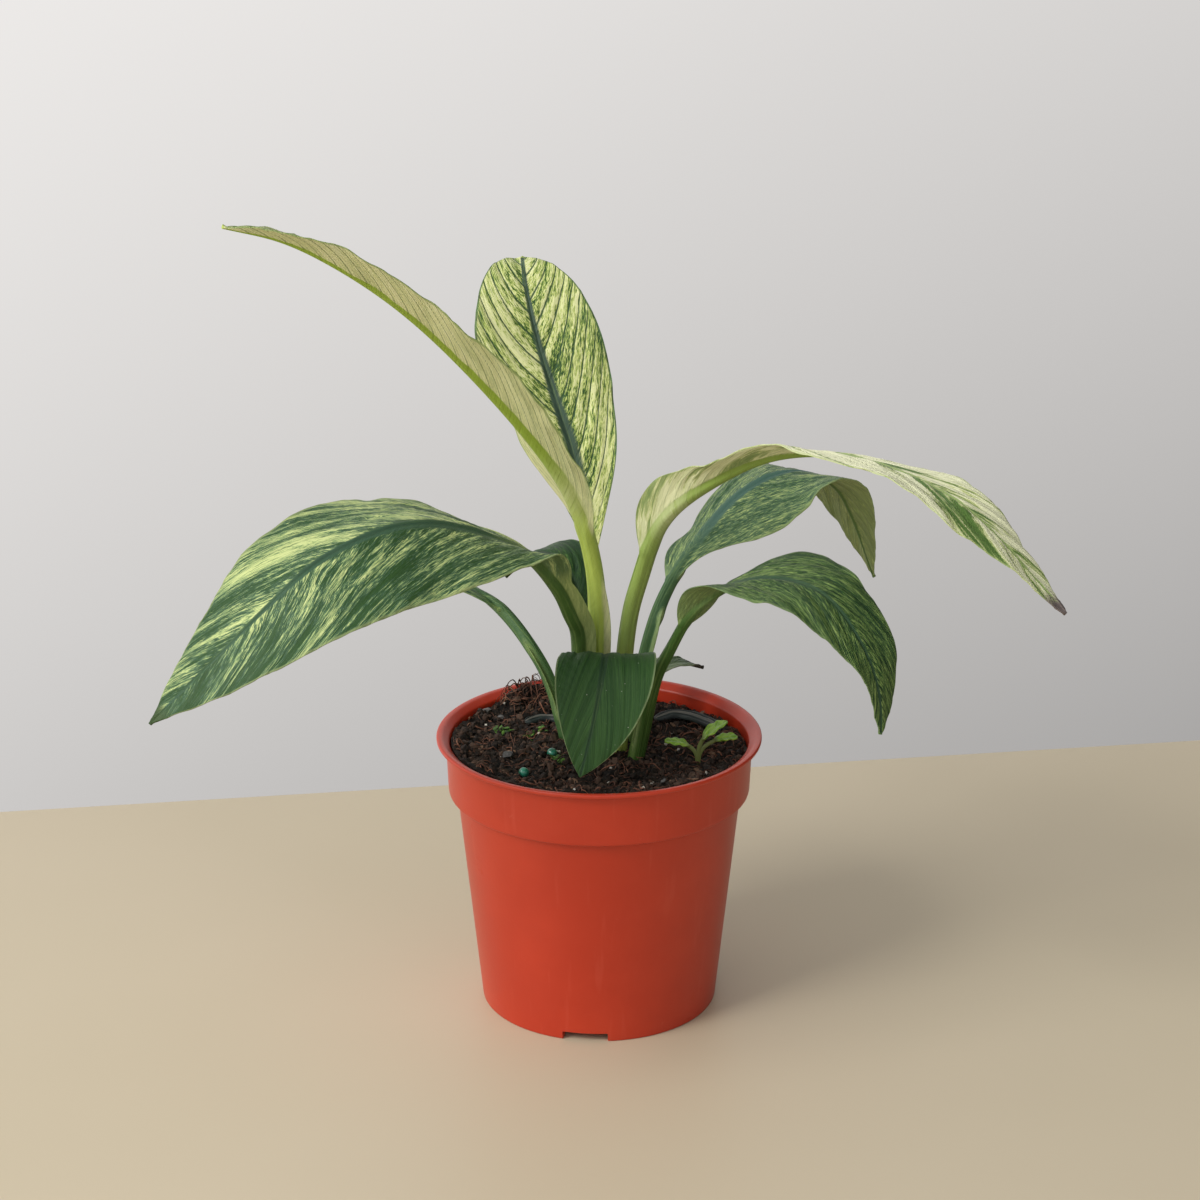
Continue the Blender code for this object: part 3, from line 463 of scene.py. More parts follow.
loose = fibre_paths(scattered(420, 41, 3.2), rng, (3.0, 9.0), (0.1, 1.3))
right_bank = np.column_stack([rng.normal(41, 4.0, 150), rng.normal(12, 14.0, 150)])
right_bank = right_bank[np.hypot(*right_bank.T) < SOIL_EDGE * 0.97]
banked = fibre_paths(right_bank, rng, (2.5, 7.0), (0.2, 1.6))
heap = np.column_stack([rng.normal(-26, 8.5, 210), rng.normal(40, 4.5, 210)])
heap = heap[np.hypot(*heap.T) < SOIL_EDGE * 0.975]
heaped = fibre_paths(heap, rng, (4.0, 11.0), (0.6, 4.2))
fibres = np.vstack([loose, banked, heaped])
fibre_points, fibre_faces = tubes(fibres, rng.uniform(0.10, 0.26, len(fibres)))
fibre_tone = np.repeat(rng.uniform(0, 1, len(fibres)) ** 1.5, fibres.shape[1] * 4)
make_piece("soil_fibres", fibre_points, fibre_faces,
           toned_finish("coir_fibre", (0.030, 0.014, 0.010), (0.26, 0.115, 0.070), 0.75, 0.2),
           readings={"tone": fibre_tone})

perlite_spots = np.vstack([scattered(34, 51), [(0.3, -44.0), (-9.6, -44.8), (14.0, -43.0), (-27.0, -36.5)]])
perlite_sizes = rng.uniform(0.30, 0.75, (len(perlite_spots), 1))
perlite_sizes = perlite_sizes * rng.uniform(0.8, 1.2, (len(perlite_spots), 3))
perlite_points, perlite_faces, perlite_tone = lumps(perlite_spots, perlite_sizes, 52)
make_piece("soil_perlite", perlite_points, perlite_faces,
           toned_finish("perlite", (0.42, 0.38, 0.31), (0.80, 0.78, 0.72), 0.8),
           readings=perlite_tone, sharp=30.0)

stone_spots = np.array([(-38.5, 28.0), (-30.4, -8.2), (-33.5, 26.0), (20.5, -31.0), (-12.0, 31.0)])
stone_sizes = np.array([(2.6, 1.9, 1.2), (2.5, 1.7, 1.0), (1.6, 1.3, 0.9), (1.4, 1.1, 0.8), (1.5, 1.2, 0.8)])
stone_points, stone_faces, stone_tone = lumps(stone_spots, stone_sizes, 61, 0.12, 0.2, 0.4)
make_piece("soil_stones", stone_points, stone_faces,
           toned_finish("grit_stone", (0.045, 0.045, 0.045), (0.16, 0.155, 0.15), 0.6),
           readings=stone_tone)


def ball(middle, radius, rows=14, columns=24):
    """A ball as a grid of points from pole to pole."""
    tip = np.linspace(0, np.pi, rows)[:, None]
    around = np.linspace(0, 2 * np.pi, columns, endpoint=False)[None, :]
    x, y = np.sin(tip) * np.cos(around), np.sin(tip) * np.sin(around)
    return np.array(middle) + radius * np.stack([x, y, np.cos(tip) + 0 * around], axis=-1)


prill_places = [(-24.4, -25.4), (-15.5, -8.2)]
prill_points = [ball((x, y, float(crumbled(np.array(x), np.array(y))) + 0.7), 1.75) for x, y in prill_places]
prill_faces = []
for number, points in enumerate(prill_points):
    prill_faces += grid_faces(14, 24, wrap=True, flip=True, start=number * points.shape[0] * points.shape[1])
prill_finish = Finish("feed_prill", specular_ior_level=0.6, coat_weight=0.5)
prill_cloud = prill_finish.noise(prill_finish.place(), 500.0, 3.0)
prill_finish.surface(prill_finish.mix(prill_cloud.rise(0.4, 0.65), (0.008, 0.11, 0.065), (0.03, 0.27, 0.17)),
                     0.32, prill_cloud, 0.3, 0.0003)
make_piece("soil_prills", np.concatenate([p.reshape(-1, 3) for p in prill_points]), prill_faces,
           prill_finish)

moss_middles = np.array([(-33.4, 12.4), (-31.0, 14.5), (-22.9, 10.6), (-19.5, 12.0),
                         (-12.5, -15.7), (-13.5, -13.0)])
moss_spots = np.vstack([rng.normal(middle, 0.9, (11, 2)) for middle in moss_middles])
moss_z = crumbled(*moss_spots.T) + rng.uniform(0.2, 1.5, len(moss_spots))
moss_sizes = rng.uniform(0.6, 1.1, (len(moss_spots), 1)) * np.array([[1.35, 0.62, 0.16]])
moss_places = np.column_stack([moss_spots, moss_z])
moss_points, moss_faces, moss_tone = lumps(moss_places, moss_sizes, 72, 0.15, 0.4, 0.9)
make_piece("soil_moss", moss_points, moss_faces,
           toned_finish("moss_leaf", (0.02, 0.055, 0.010), (0.11, 0.23, 0.035), 0.6, 0.2),
           readings=moss_tone)

# Leaves.  Each real leaf is one grown piece: a ribbed stalk with thin sheath wings at its foot, which runs
# on as the midrib, and a thin blade puffed up between its side veins.  Cream and green streaks follow the
# veins.  Every leaf stands in the soil on its own, and takes the place of its plain solid.

BLADE_THICKNESS = 0.6
STALK_STATIONS = 44
BLADE_STATIONS = 130
HALF_COLUMNS = 26
UNTRIMMED = ([(0, 1)], [(0, 1)])

CREAM = (0.64, 0.70, 0.29)
WHITE_CREAM = (0.80, 0.82, 0.53)
PALE_GREEN = (0.31, 0.43, 0.135)
SEA_GREEN = (0.110, 0.200, 0.100)
LEAF_GREEN = (0.110, 0.215, 0.044)
DEEP_GREEN = (0.030, 0.082, 0.020)
BLUE_GREEN = (0.042, 0.102, 0.060)
NIGHT_GREEN = (0.012, 0.042, 0.014)
STALK_YELLOW = (0.34, 0.47, 0.060)
STALK_GREEN = (0.060, 0.130, 0.026)

# "path" to "wave" shape a leaf as in its solid: "path" runs along the midrib in mm, "side" is the compass
# bearing of the left edge, "blade" the share of the length where the blade starts, and the pairs of lists
# give the left and right half.  "stops" run from the darkest streaks to the palest, "veins" gives their
# spacing, width and strength, "sweep" how far they lean to the tip, "puff" the relief between them.
LEAVES = {
    "leaf_upper_left": dict(
        path=[(-2, -1, 78), (-.5, -7, 129), (-2, -13, 159), (-11, -24, 188), (-32, -42, 220.5),
              (-58, -65, 253), (-85, -84, 275), (-105, -95, 283)],
        side=306, blade=.33, half=(18, 20), widest=.50, full=1.9, roll=[(0, 0)],
        trim=([(0, 1), (.45, .95), (.6, .8), (.75, .65), (.9, .75), (1, 1)], [(0, 1)]),
        rib=[(0, 2.5), (.32, 2.6), (.6, 1.4), (.9, .5), (1, .35)],
        wing=([(.06, 0), (.12, 2.8), (.22, 3), (.29, 0)], [(.06, 0), (.12, 1.5), (.29, 0)]),
        fold=([(.05, 10), (.33, 35), (.47, 15), (.7, 18), (.87, 36)],
              [(.05, 30), (.33, -8), (.42, -4), (.5, 10), (.62, 17), (.77, 20)]),
        wave=((.6, 3, 0), (.6, 3, .3)),
        marks=(1.0, .7, .6, .7), grain=(1.8, .35), rib_span=(1.3, 1.8), sheath=((.66, .68, .34), .35),
        stops=[(.36, LEAF_GREEN), (.44, PALE_GREEN), (.50, CREAM), (.62, WHITE_CREAM)],
        under=((.88, .87, .49), .82), veins=(6.0, .6, 1.0), vein=(.17, .24, .08), sweep=(1.6, 1.0), puff=.22,
        rib_colors=((.20, .32, .10), STALK_YELLOW), stalk=(STALK_YELLOW, (.46, .58, .11)),
        edge=((.30, .42, .12), .7)),
    "leaf_upright_back": dict(
        path=[(1, 6, 78), (-1, 13, 135), (-7, 20, 178), (-14, 26, 200), (-20, 31, 219), (-23.5, 36, 233),
              (-25, 43, 241), (-25.5, 51, 243)],
        side=198, blade=.40, half=(19, 21.5), widest=.60, full=1.5, roll=[(0, 0)],
        trim=([(0, .6), (.35, .8), (.6, 1.08), (.75, 1.2), (.87, 1.1), (1, .95)],
              [(0, .7), (.3, .85), (.5, .95), (.75, 1), (.87, 1.05), (1, .95)]),
        rib=[(0, 2.2), (.38, 2.0), (.9, .5), (1, .35)],
        wing=([(.06, 0), (.12, 1.5), (.3, 0)], [(.06, 0), (.12, 1.5), (.3, 0)]),
        fold=([(.05, 20), (.38, 40), (.6, 10), (1, 5)], [(.05, 20), (.38, 40), (.6, 10), (1, 5)]),
        wave=((.6, 3, 0), (.6, 3, .3)),
        marks=(1.2, .8, .7, .9), grain=(1.5, 1.0), threads=0.0, rib_span=(1.1, 2.3),
        stops=[(.29, DEEP_GREEN), (.37, LEAF_GREEN), (.45, (.36, .47, .10)), (.53, (.66, .73, .24)),
               (.64, (.84, .87, .46))],
        under=((.40, .46, .22), .5), veins=(9.0, .85, .95), vein=(.035, .095, .035), sweep=(1.1, 1.0),
        puff=.30, rib_colors=((.055, .100, .068), STALK_YELLOW), stalk=(STALK_GREEN, STALK_YELLOW),
        edge=((.07, .15, .05), .9)),
    "leaf_large_left": dict(
        path=[(-8, -4, 78), (-6, -10, 127), (-9, -17, 141), (-14, -26, 155), (-24, -38, 170),
              (-44, -55, 183), (-62, -70, 187), (-84, -84, 180), (-107, -94, 160), (-132, -100, 136)],
        side=298, blade=.32, half=(27, 25), widest=.47, full=1.9,
        roll=[(.32, 0), (.5, -32), (.6, -44), (.8, -38), (1, -20)],
        rib=[(0, 2.5), (.36, 2.2), (.9, .5), (1, .35)],
        wing=([(.06, 0), (.12, 2.5), (.27, 4.5), (.34, 3), (.38, 0)], [(.06, 0), (.12, 1.5), (.3, 0)]),
        fold=([(.1, 40), (.32, 70), (.46, 20), (.6, 0), (1, 5)],
              [(.1, 30), (.32, 20), (.46, -30), (.6, -42), (.8, -14), (1, 5)]),
        wave=((.8, 3, 0), (.6, 3, .3)),
        marks=(1.1, .75, .8, .5), grain=(2.0, .7), tipward=-.10, leftward=-.08, rib_span=(.8, 1.3),
        sheath=((.50, .58, .22), .75),
        stops=[(.33, DEEP_GREEN), (.42, BLUE_GREEN), (.48, SEA_GREEN), (.54, (.28, .41, .15)),
               (.64, (.62, .70, .30))],
        under=((.16, .24, .10), .6), veins=(8.0, .5, .35), vein=(.040, .095, .045), sweep=(1.7, 1.0),
        puff=.28, rib_colors=((.045, .105, .060), STALK_GREEN), stalk=((.11, .20, .030), STALK_GREEN),
        edge=((.33, .40, .17), .6), tip=(.95, (.05, .09, .03))),
    "leaf_low_left": dict(
        path=[(-8, 5, 78), (-15.5, 14, 104), (-23, 20, 117), (-33, 28, 127.5), (-45, 36, 134),
              (-66, 47, 140), (-90, 58, 136), (-108, 66, 124)],
        side=242, blade=.39, half=(15, 14), widest=.45, full=2.0,
        roll=[(.05, 0), (.4, 25), (.6, 15), (1, 0)],
        rib=[(0, 2.1), (.4, 1.8), (.9, .5), (1, .35)],
        wing=([(.11, 0), (.16, 2), (.26, 2), (.32, 0)], [(.11, 0), (.16, 1.5), (.3, 0)]),
        fold=([(.1, 30), (.4, -20), (.55, -5), (1, 5)], [(.1, 40), (.38, 20), (.5, -10), (.7, 0)]),
        wave=((.6, 3, 0), (.6, 3, .3)),
        marks=(1, .9, .5, .6),
        stops=[(.42, DEEP_GREEN), (.50, BLUE_GREEN), (.56, LEAF_GREEN), (.62, PALE_GREEN)],
        under=((.12, .20, .09), .6), veins=(6.0, .5, .3), vein=(.035, .085, .035), sweep=(2.0, 1.0), puff=.2,
        rib_colors=((.050, .115, .065), STALK_GREEN), stalk=((.055, .13, .035), (.060, .13, .050)),
        edge=((.35, .45, .18), .7)),
    "leaf_small_dark": dict(
        path=[(-5, 8, 78), (-5, 20, 115), (-7, 28, 133), (-13, 35, 143), (-22, 41, 143.5), (-32, 46, 133)],
        side=230, blade=.52, half=(11, 12), widest=.42, full=1.5, roll=[(0, 0)],
        rib=[(0, 1.9), (.4, 1.7), (.9, .5), (1, .35)], wing=([(0, 0)], [(0, 0)]),
        fold=([(.1, 0), (.58, 20), (.8, 0)], [(.1, 0), (.58, 30), (.8, 5)]),
        wave=((.3, 2, 0), (.3, 2, .3)),
        marks=(.6, .4, .3, .4),
        stops=[(.44, NIGHT_GREEN), (.56, DEEP_GREEN), (.68, LEAF_GREEN)],
        under=((.07, .12, .05), .5), veins=(5.0, .5, .3), vein=(.02, .05, .02), sweep=(1.2, 1.0), puff=.15,
        rib_colors=((.03, .07, .03), STALK_GREEN), stalk=((.05, .12, .02), (.05, .11, .02)),
        edge=((.10, .17, .06), .5)),
    "leaf_long_right": dict(
        path=[(6, -2, 78), (8.5, -9, 130), (13, -15, 153), (20, -26, 176), (35, -41, 193), (54, -58, 206.5),
              (77, -80, 211.5), (105, -103, 203.5), (131, -125, 179)],
        side=50, blade=.32, half=(17, 18), widest=.59, full=1.5,
        trim=([(0, 1), (.8, 1), (1, .5)],
              [(0, 2.2), (.08, 1.9), (.2, .85), (.35, .75), (.5, 1), (.8, 1), (1, .5)]),
        roll=[(.4, 0), (.5, -10), (.6, -19), (.68, -15), (.8, -10), (1, -8)],
        rib=[(0, 2.6), (.32, 2.5), (.6, 1.4), (.9, .5), (1, .35)],
        wing=([(0, 0)], [(0, 0)]),
        fold=([(.1, 0), (.32, 60), (.45, 40), (.53, 14), (.62, -2), (.75, 0)],
              [(.1, 0), (.32, 80), (.42, 66), (.5, 24), (.6, 0)]),
        wave=((.8, 3, 0), (1.0, 4, .5)),
        marks=(.5, 1.0, 1.4, .2), grain=(.9, .4), leftward=-.05, threads=0.0, rib_span=(1.0, 1.5),
        stops=[(.26, LEAF_GREEN), (.34, PALE_GREEN), (.39, CREAM), (.47, (.93, .95, .62))],
        under=((.44, .50, .24), .6), veins=(7.0, .5, .45), vein=(.21, .30, .10), sweep=(1.5, 1.0), puff=.34,
        rib_colors=((.34, .45, .16), (.22, .32, .06)), stalk=((.38, .50, .10), (.27, .38, .09)),
        edge=((.30, .38, .14), .6), tip=(.95, (.16, .13, .12))),
    "leaf_middle_right": dict(
        path=[(8, 5, 78), (16, 13, 120), (23, 20, 138), (34, 26, 154), (47, 32, 167), (64, 39, 173),
              (79, 45, 167), (87, 50, 153), (95, 52, 131)],
        side=122, blade=.36, half=(19, 19), widest=.47, full=1.9,
        trim=([(0, 1.5), (.07, 1.4), (.16, .6), (.3, .75), (.5, 1), (1, 1)],
              [(0, .4), (.12, .6), (.25, 1.15), (.35, 1.2), (.5, 1.1), (.7, .85), (1, .9)]),
        roll=[(.05, 0), (.3, 15), (.5, 25), (.65, 20), (.78, -2), (1, 0)],
        rib=[(0, 2.1), (.33, 1.9), (.9, .5), (1, .35)],
        wing=([(.07, 0), (.13, 1), (.28, 0)], [(.07, 0), (.13, 2.5), (.27, 3), (.31, 0)]),
        fold=([(.1, 10), (.36, 0), (.46, -32), (.6, -30), (.8, -15), (1, 5)],
              [(.1, 20), (.36, 30), (.46, 5), (.64, 0), (.74, 14), (1, 5)]),
        wave=((.6, 3, 0), (.6, 3, .9)),
        marks=(1.3, .4, .4, .8), grain=(2.2, .9), rib_span=(.9, 1.7), sheath=((.36, .48, .22), .8),
        stops=[(.34, DEEP_GREEN), (.44, BLUE_GREEN), (.53, SEA_GREEN), (.63, PALE_GREEN), (.76, CREAM)],
        under=((.36, .44, .16), .75), veins=(7.5, .6, .6), vein=(.045, .095, .055), sweep=(1.8, 1.0),
        puff=.25, rib_colors=((.060, .135, .105), (.10, .18, .05)),
        stalk=((.08, .17, .035), (.055, .13, .055)),
        edge=((.30, .40, .16), .6)),
    "leaf_low_right": dict(
        path=[(10, -9, 78), (17, -16, 115), (23, -21, 131), (30, -27, 146), (42, -34, 157.5),
              (57, -43, 162), (70, -53, 159.5), (80, -60, 147), (85.5, -64, 133), (86.5, -65, 119)],
        side=52, blade=.38, half=(16, 15), widest=.48, full=1.7,
        trim=([(0, .8), (.25, .7), (.4, 1), (.7, 1), (.85, 1.15), (1, 1.2)],
              [(0, 1.2), (.2, 1), (.5, 1), (.7, .85), (.85, .7), (1, .6)]),
        roll=[(.1, 0), (.36, -22), (.47, -5), (.57, 12), (.8, 10), (1, 0)],
        rib=[(0, 2.5), (.3, 1.9), (.9, .5), (1, .35)],
        wing=([(.07, 0), (.13, 1.5), (.25, 0)], [(.07, 0), (.13, 1.5), (.25, 0)]),
        fold=([(.1, 10), (.30, -25), (.42, -28), (.49, 14), (.6, 4), (.75, 0), (1, 5)],
              [(.1, 10), (.38, 40), (.5, 20), (.62, -5), (1, 5)]),
        wave=((.8, 3, 0), (.8, 3, .9)),
        marks=(1.7, .4, .3, .7), grain=(2.2, .7),
        tipward=.06,
        stops=[(.40, NIGHT_GREEN), (.50, DEEP_GREEN), (.58, LEAF_GREEN), (.67, PALE_GREEN)],
        under=((.24, .33, .13), .7), veins=(5.5, .5, .55), vein=(.020, .060, .028), sweep=(2.6, 1.2),
        puff=.28, rib_colors=((.035, .085, .040), (.05, .11, .02)),
        stalk=((.035, .10, .012), (.045, .11, .018)),
        edge=((.13, .20, .08), .7)),
    "leaf_front_dark": dict(
        path=[(0, -10, 78), (0, -14, 111), (1, -21, 127), (2, -29, 132), (1, -37, 128), (-2, -43, 113),
              (-6, -46, 97)],
        side=355, blade=.40, half=(16.5, 15), widest=.42, full=1.5, roll=[(0, 0)],
        rib=[(0, 2.0), (.4, 1.6), (.9, .5), (1, .35)], wing=([(0, 0)], [(0, 0)]),
        fold=([(.1, 0), (.4, -5), (.55, 0), (1, 5)], [(.1, 0), (.4, -5), (.55, 0), (1, 5)]),
        wave=((.3, 2, 0), (.3, 2, .3)),
        marks=(.5, .4, .4, .4),
        stops=[(.40, (.020, .070, .016)), (.60, (.044, .120, .028))],
        under=((.05, .11, .04), .5), veins=(9.0, .6, .5), vein=(.010, .034, .014), sweep=(3.6, 1.5), puff=.22,
        rib_colors=((.018, .055, .022), STALK_GREEN), stalk=((.03, .09, .012), (.03, .09, .012)),
        edge=((.22, .30, .14), .9), specks=True),
    "leaf_little_back": dict(
        path=[(6, 12, 78), (12, 22, 97), (18, 30, 104), (27, 37, 105), (36, 43, 101)],
        side=130, blade=.50, half=(5, 5), widest=.42, full=1.7, roll=[(0, 0)],
        rib=[(0, 1.4), (.4, 1.2), (.9, .4), (1, .35)], wing=([(0, 0)], [(0, 0)]),
        fold=([(.1, 0), (.5, 20), (.7, 10)], [(.1, 0), (.5, 20), (.7, 10)]),
        wave=((.2, 2, 0), (.2, 2, .3)),
        marks=(.8, .5, .4, .6),
        stops=[(.42, (.06, .10, .05)), (.52, (.13, .19, .10)), (.62, (.26, .32, .17))],
        under=((.20, .25, .15), .5), veins=(4.0, .4, .4), vein=(.05, .08, .04), sweep=(1.5, 1.0), puff=.15,
        rib_colors=((.10, .15, .07), (.12, .17, .08)), stalk=((.10, .15, .05), (.12, .17, .07)),
        edge=((.28, .32, .2), .5), tip=(.70, (.035, .03, .025))),
}


def curve_through(points, count=400):
    """Smooth line through the points, evened to equal steps along its length, and that length."""
    given = np.asarray(points, float)
    given = np.vstack([2 * given[0] - given[1], given, 2 * given[-1] - given[-2]])
    u = np.linspace(0, 1, 24, endpoint=False)[:, None]
    runs = [0.5 * (2 * b + (c - a) * u + (2 * a - 5 * b + 4 * c - d) * u ** 2
                   + (3 * b - a - 3 * c + d) * u ** 3)
            for a, b, c, d in zip(given[:-3], given[1:-2], given[2:-1], given[3:])]
    line = np.vstack(runs + [given[-2:-1]])
    for _ in range(40):
        line[1:-1] = (line[:-2] + 2 * line[1:-1] + line[2:]) / 4
    run = np.concatenate([[0], np.cumsum(np.linalg.norm(np.diff(line, axis=0), axis=1))])
    even = np.linspace(0, run[-1], count)
    return np.stack([np.interp(even, run, line[:, k]) for k in range(3)], axis=-1), run[-1]


def value_along(places, table):
    """Value of a table of (place, value) pairs at the places, with its corners rounded off."""
    at, value = np.array(table, float).T
    grid = np.linspace(-0.2, 1.2, 701)
    weight = np.hanning(41)
    rough = np.pad(np.interp(grid, at, value), 20, mode="edge")
    return np.interp(places, grid, np.convolve(rough, weight / weight.sum(), "valid"))


def leaf_shell(leaf, seed, stalk_stations, blade_stations, half_columns):
    """Upper and lower faces of a leaf as grids (stations, columns, 3), and its readings on that grid.

    A station's section is a half circle of the rib's radius on the stalk.  On the blade it is a sheet that
    leaves the midrib at the fold's angle, as wide as a beta curve of the place along the blade.  Waves
    grow to the margin with the square of the distance; the sheet is puffed up between veins that leave
    the midrib forward and bend towards the tip.
    """
    line, length = curve_through(leaf["path"])
    start = leaf["blade"]
    s = np.concatenate([np.linspace(0, start, stalk_stations, endpoint=False),
                        np.linspace(start, 1, blade_stations)])
    grid = np.linspace(0, 1, len(line))
    slope = np.gradient(line, axis=0)
    middle = np.stack([np.interp(s, grid, line[:, k]) for k in range(3)], axis=-1)
    ahead = np.stack([np.interp(s, grid, slope[:, k]) for k in range(3)], axis=-1)
    ahead /= np.linalg.norm(ahead, axis=1)[:, None]
    bearing = np.radians(leaf["side"])
    left = np.array([np.cos(bearing), np.sin(bearing), 0.0]) + 0 * ahead
    left -= ahead * np.sum(left * ahead, axis=1)[:, None]
    left /= np.linalg.norm(left, axis=1)[:, None]
    top = np.cross(ahead, left)
    roll = np.radians(value_along(s, leaf["roll"]))[:, None]
    left, top = left * np.cos(roll) + top * np.sin(roll), top * np.cos(roll) - left * np.sin(roll)

    t = np.clip((s - start) / (1 - start), 0, 1)
    peak, full = leaf["widest"], leaf["full"]
    shape = ((np.maximum(t, 1e-9) / peak) ** (full * peak)
             * (np.maximum(1 - t, 0) / (1 - peak)) ** (full * (1 - peak)))
    rib = value_along(s, leaf["rib"])[:, None]
    along = (s * length)[:, None]
    spacing = leaf["veins"][0]
    lean, bend = leaf["sweep"]
    halves = []
    for hand, sign in ((0, 1), (1, -1)):
        wing = value_along(s, leaf["wing"][hand])
        half = leaf["half"][hand] * shape * value_along(t, leaf.get("trim", UNTRIMMED)[hand])
        reach = (np.sqrt(rib[:, 0] ** 2 + half ** 2) + wing)[:, None]
        wide = ease((reach / rib - 1.05) / 1.2)
        inner = half_columns // 5
        part = np.arange(1, half_columns - inner + 1) / (half_columns - inner)
        flat_x = np.concatenate([rib * 0.8 * np.arange(inner + 1) / inner,
                                 rib * 0.8 + (reach - rib * 0.8) * part], axis=1)
        round_x = reach * np.sin(np.linspace(0, np.pi / 2, half_columns + 1))
        x = round_x * (1 - wide) + flat_x * wide
        a = x / reach
        angle = np.radians(value_along(s, leaf["fold"][hand]))[:, None] * ease(x / (1.3 * rib))
        angle = (angle[:, 1:] + angle[:, :-1]) / 2
        step = np.diff(x, axis=1)
        out = np.concatenate([0 * x[:, :1], np.cumsum(step * np.cos(angle), axis=1)], axis=1)
        up = np.concatenate([0 * x[:, :1], np.cumsum(step * np.sin(angle), axis=1)], axis=1)
        height, count, phase = leaf["wave"][hand]
        fade = (ease(t * 5) * ease((1 - t) * 5))[:, None]
        up = up + height * a ** 2 * np.sin(2 * np.pi * (count * t[:, None] + phase)) * fade

        flat = wide * ease(t * 4)[:, None]
        vein = along - reach * (lean * a + bend * a ** 2) + sign * spacing * 0.22
        off = np.abs((vein / spacing) % 1.0 - 0.5) * spacing
        quilt = leaf["puff"] * (0.35 - np.exp(-(off / (0.15 * spacing)) ** 2))
        quilt *= flat * ease((x / rib - 0.9) / 1.2) * ease((1 - a) / 0.12)
        crinkle = 0.22 * grain(vein, x + 40 * sign, 3.1, seed)
        crinkle = crinkle + 0.38 * grain(vein, x + 40 * sign, 8.0, seed + 1)
        crinkle *= flat * ease(x / rib / 2)
        ripple = 0.55 * a ** 5 * grain(along + 60 * sign, 0 * x, 6.0, seed + 2) * flat * fade
        turn = np.arcsin(np.clip(x / (reach * 1.001), 0, 1))
        ribbed = 1 + 0.05 * np.cos(10 * turn) * (1 - flat)
        bump_reach = reach * (1 - wide) * 1.001 + rib * wide
        bump = np.sqrt(np.clip(1 - (x / bump_reach) ** 2, 0, 1)) * rib * ribbed
        halves.append(dict(out=sign * out, up=up, bump=bump, wide=wide + 0 * x, across=sign * x, a=a,
                           vein=vein, relief=quilt + crinkle + ripple, rib=x / rib))
    joined = {key: np.concatenate([halves[1][key][:, :0:-1], halves[0][key]], axis=1) for key in halves[0]}
    flat = joined["wide"].max(axis=1)[:, None] * ease(t * 4)[:, None]
    sheet = middle[:, None] + left[:, None] * joined["out"][..., None]
    sheet = sheet + top[:, None] * joined["up"][..., None]
    normal = np.cross(np.gradient(sheet, axis=0), np.gradient(sheet, axis=1))
    normal /= np.linalg.norm(normal, axis=2)[..., None]
    thick = BLADE_THICKNESS / 2 * (1 - 0.45 * joined["a"] ** 6)
    groove = 0.35 * np.exp(-(joined["rib"] / 0.6) ** 2) * flat * np.minimum(rib, 1.2)
    upper = sheet + normal * (thick + joined["bump"] * (1 - flat) + joined["relief"] - groove)[..., None]
    lower = sheet - normal * (thick + joined["bump"] - joined["relief"] * (joined["rib"] > 1))[..., None]
    shape_of = 0 * joined["a"]
    readings = dict(across=joined["across"], vein=joined["vein"], margin=joined["a"], ribs=joined["rib"],
                    along=along + shape_of, blade=t[:, None] + shape_of, flat=flat + shape_of)
    return upper, lower, readings


def closed_sheet(upper, lower, readings):
    """Close two grids round their rim into one shell; "under" is 1 on the lower face."""
    rows, columns = upper.shape[:2]
    points = np.concatenate([upper.reshape(-1, 3), lower.reshape(-1, 3)])
    index = np.arange(rows * columns).reshape(rows, columns)
    rim = np.concatenate([index[:, 0], index[-1, 1:], index[-2::-1, -1], index[0, -2:0:-1]])
    nxt = np.roll(rim, -1)
    faces = grid_faces(rows, columns) + grid_faces(rows, columns, flip=True, start=rows * columns)
    faces += np.stack([rim, rim + rows * columns, nxt + rows * columns, nxt], axis=-1).tolist()
    doubled = {label: np.tile(value.ravel(), 2) for label, value in readings.items()}
    doubled["under"] = np.repeat([0.0, 1.0], rows * columns)
    return points, faces, doubled


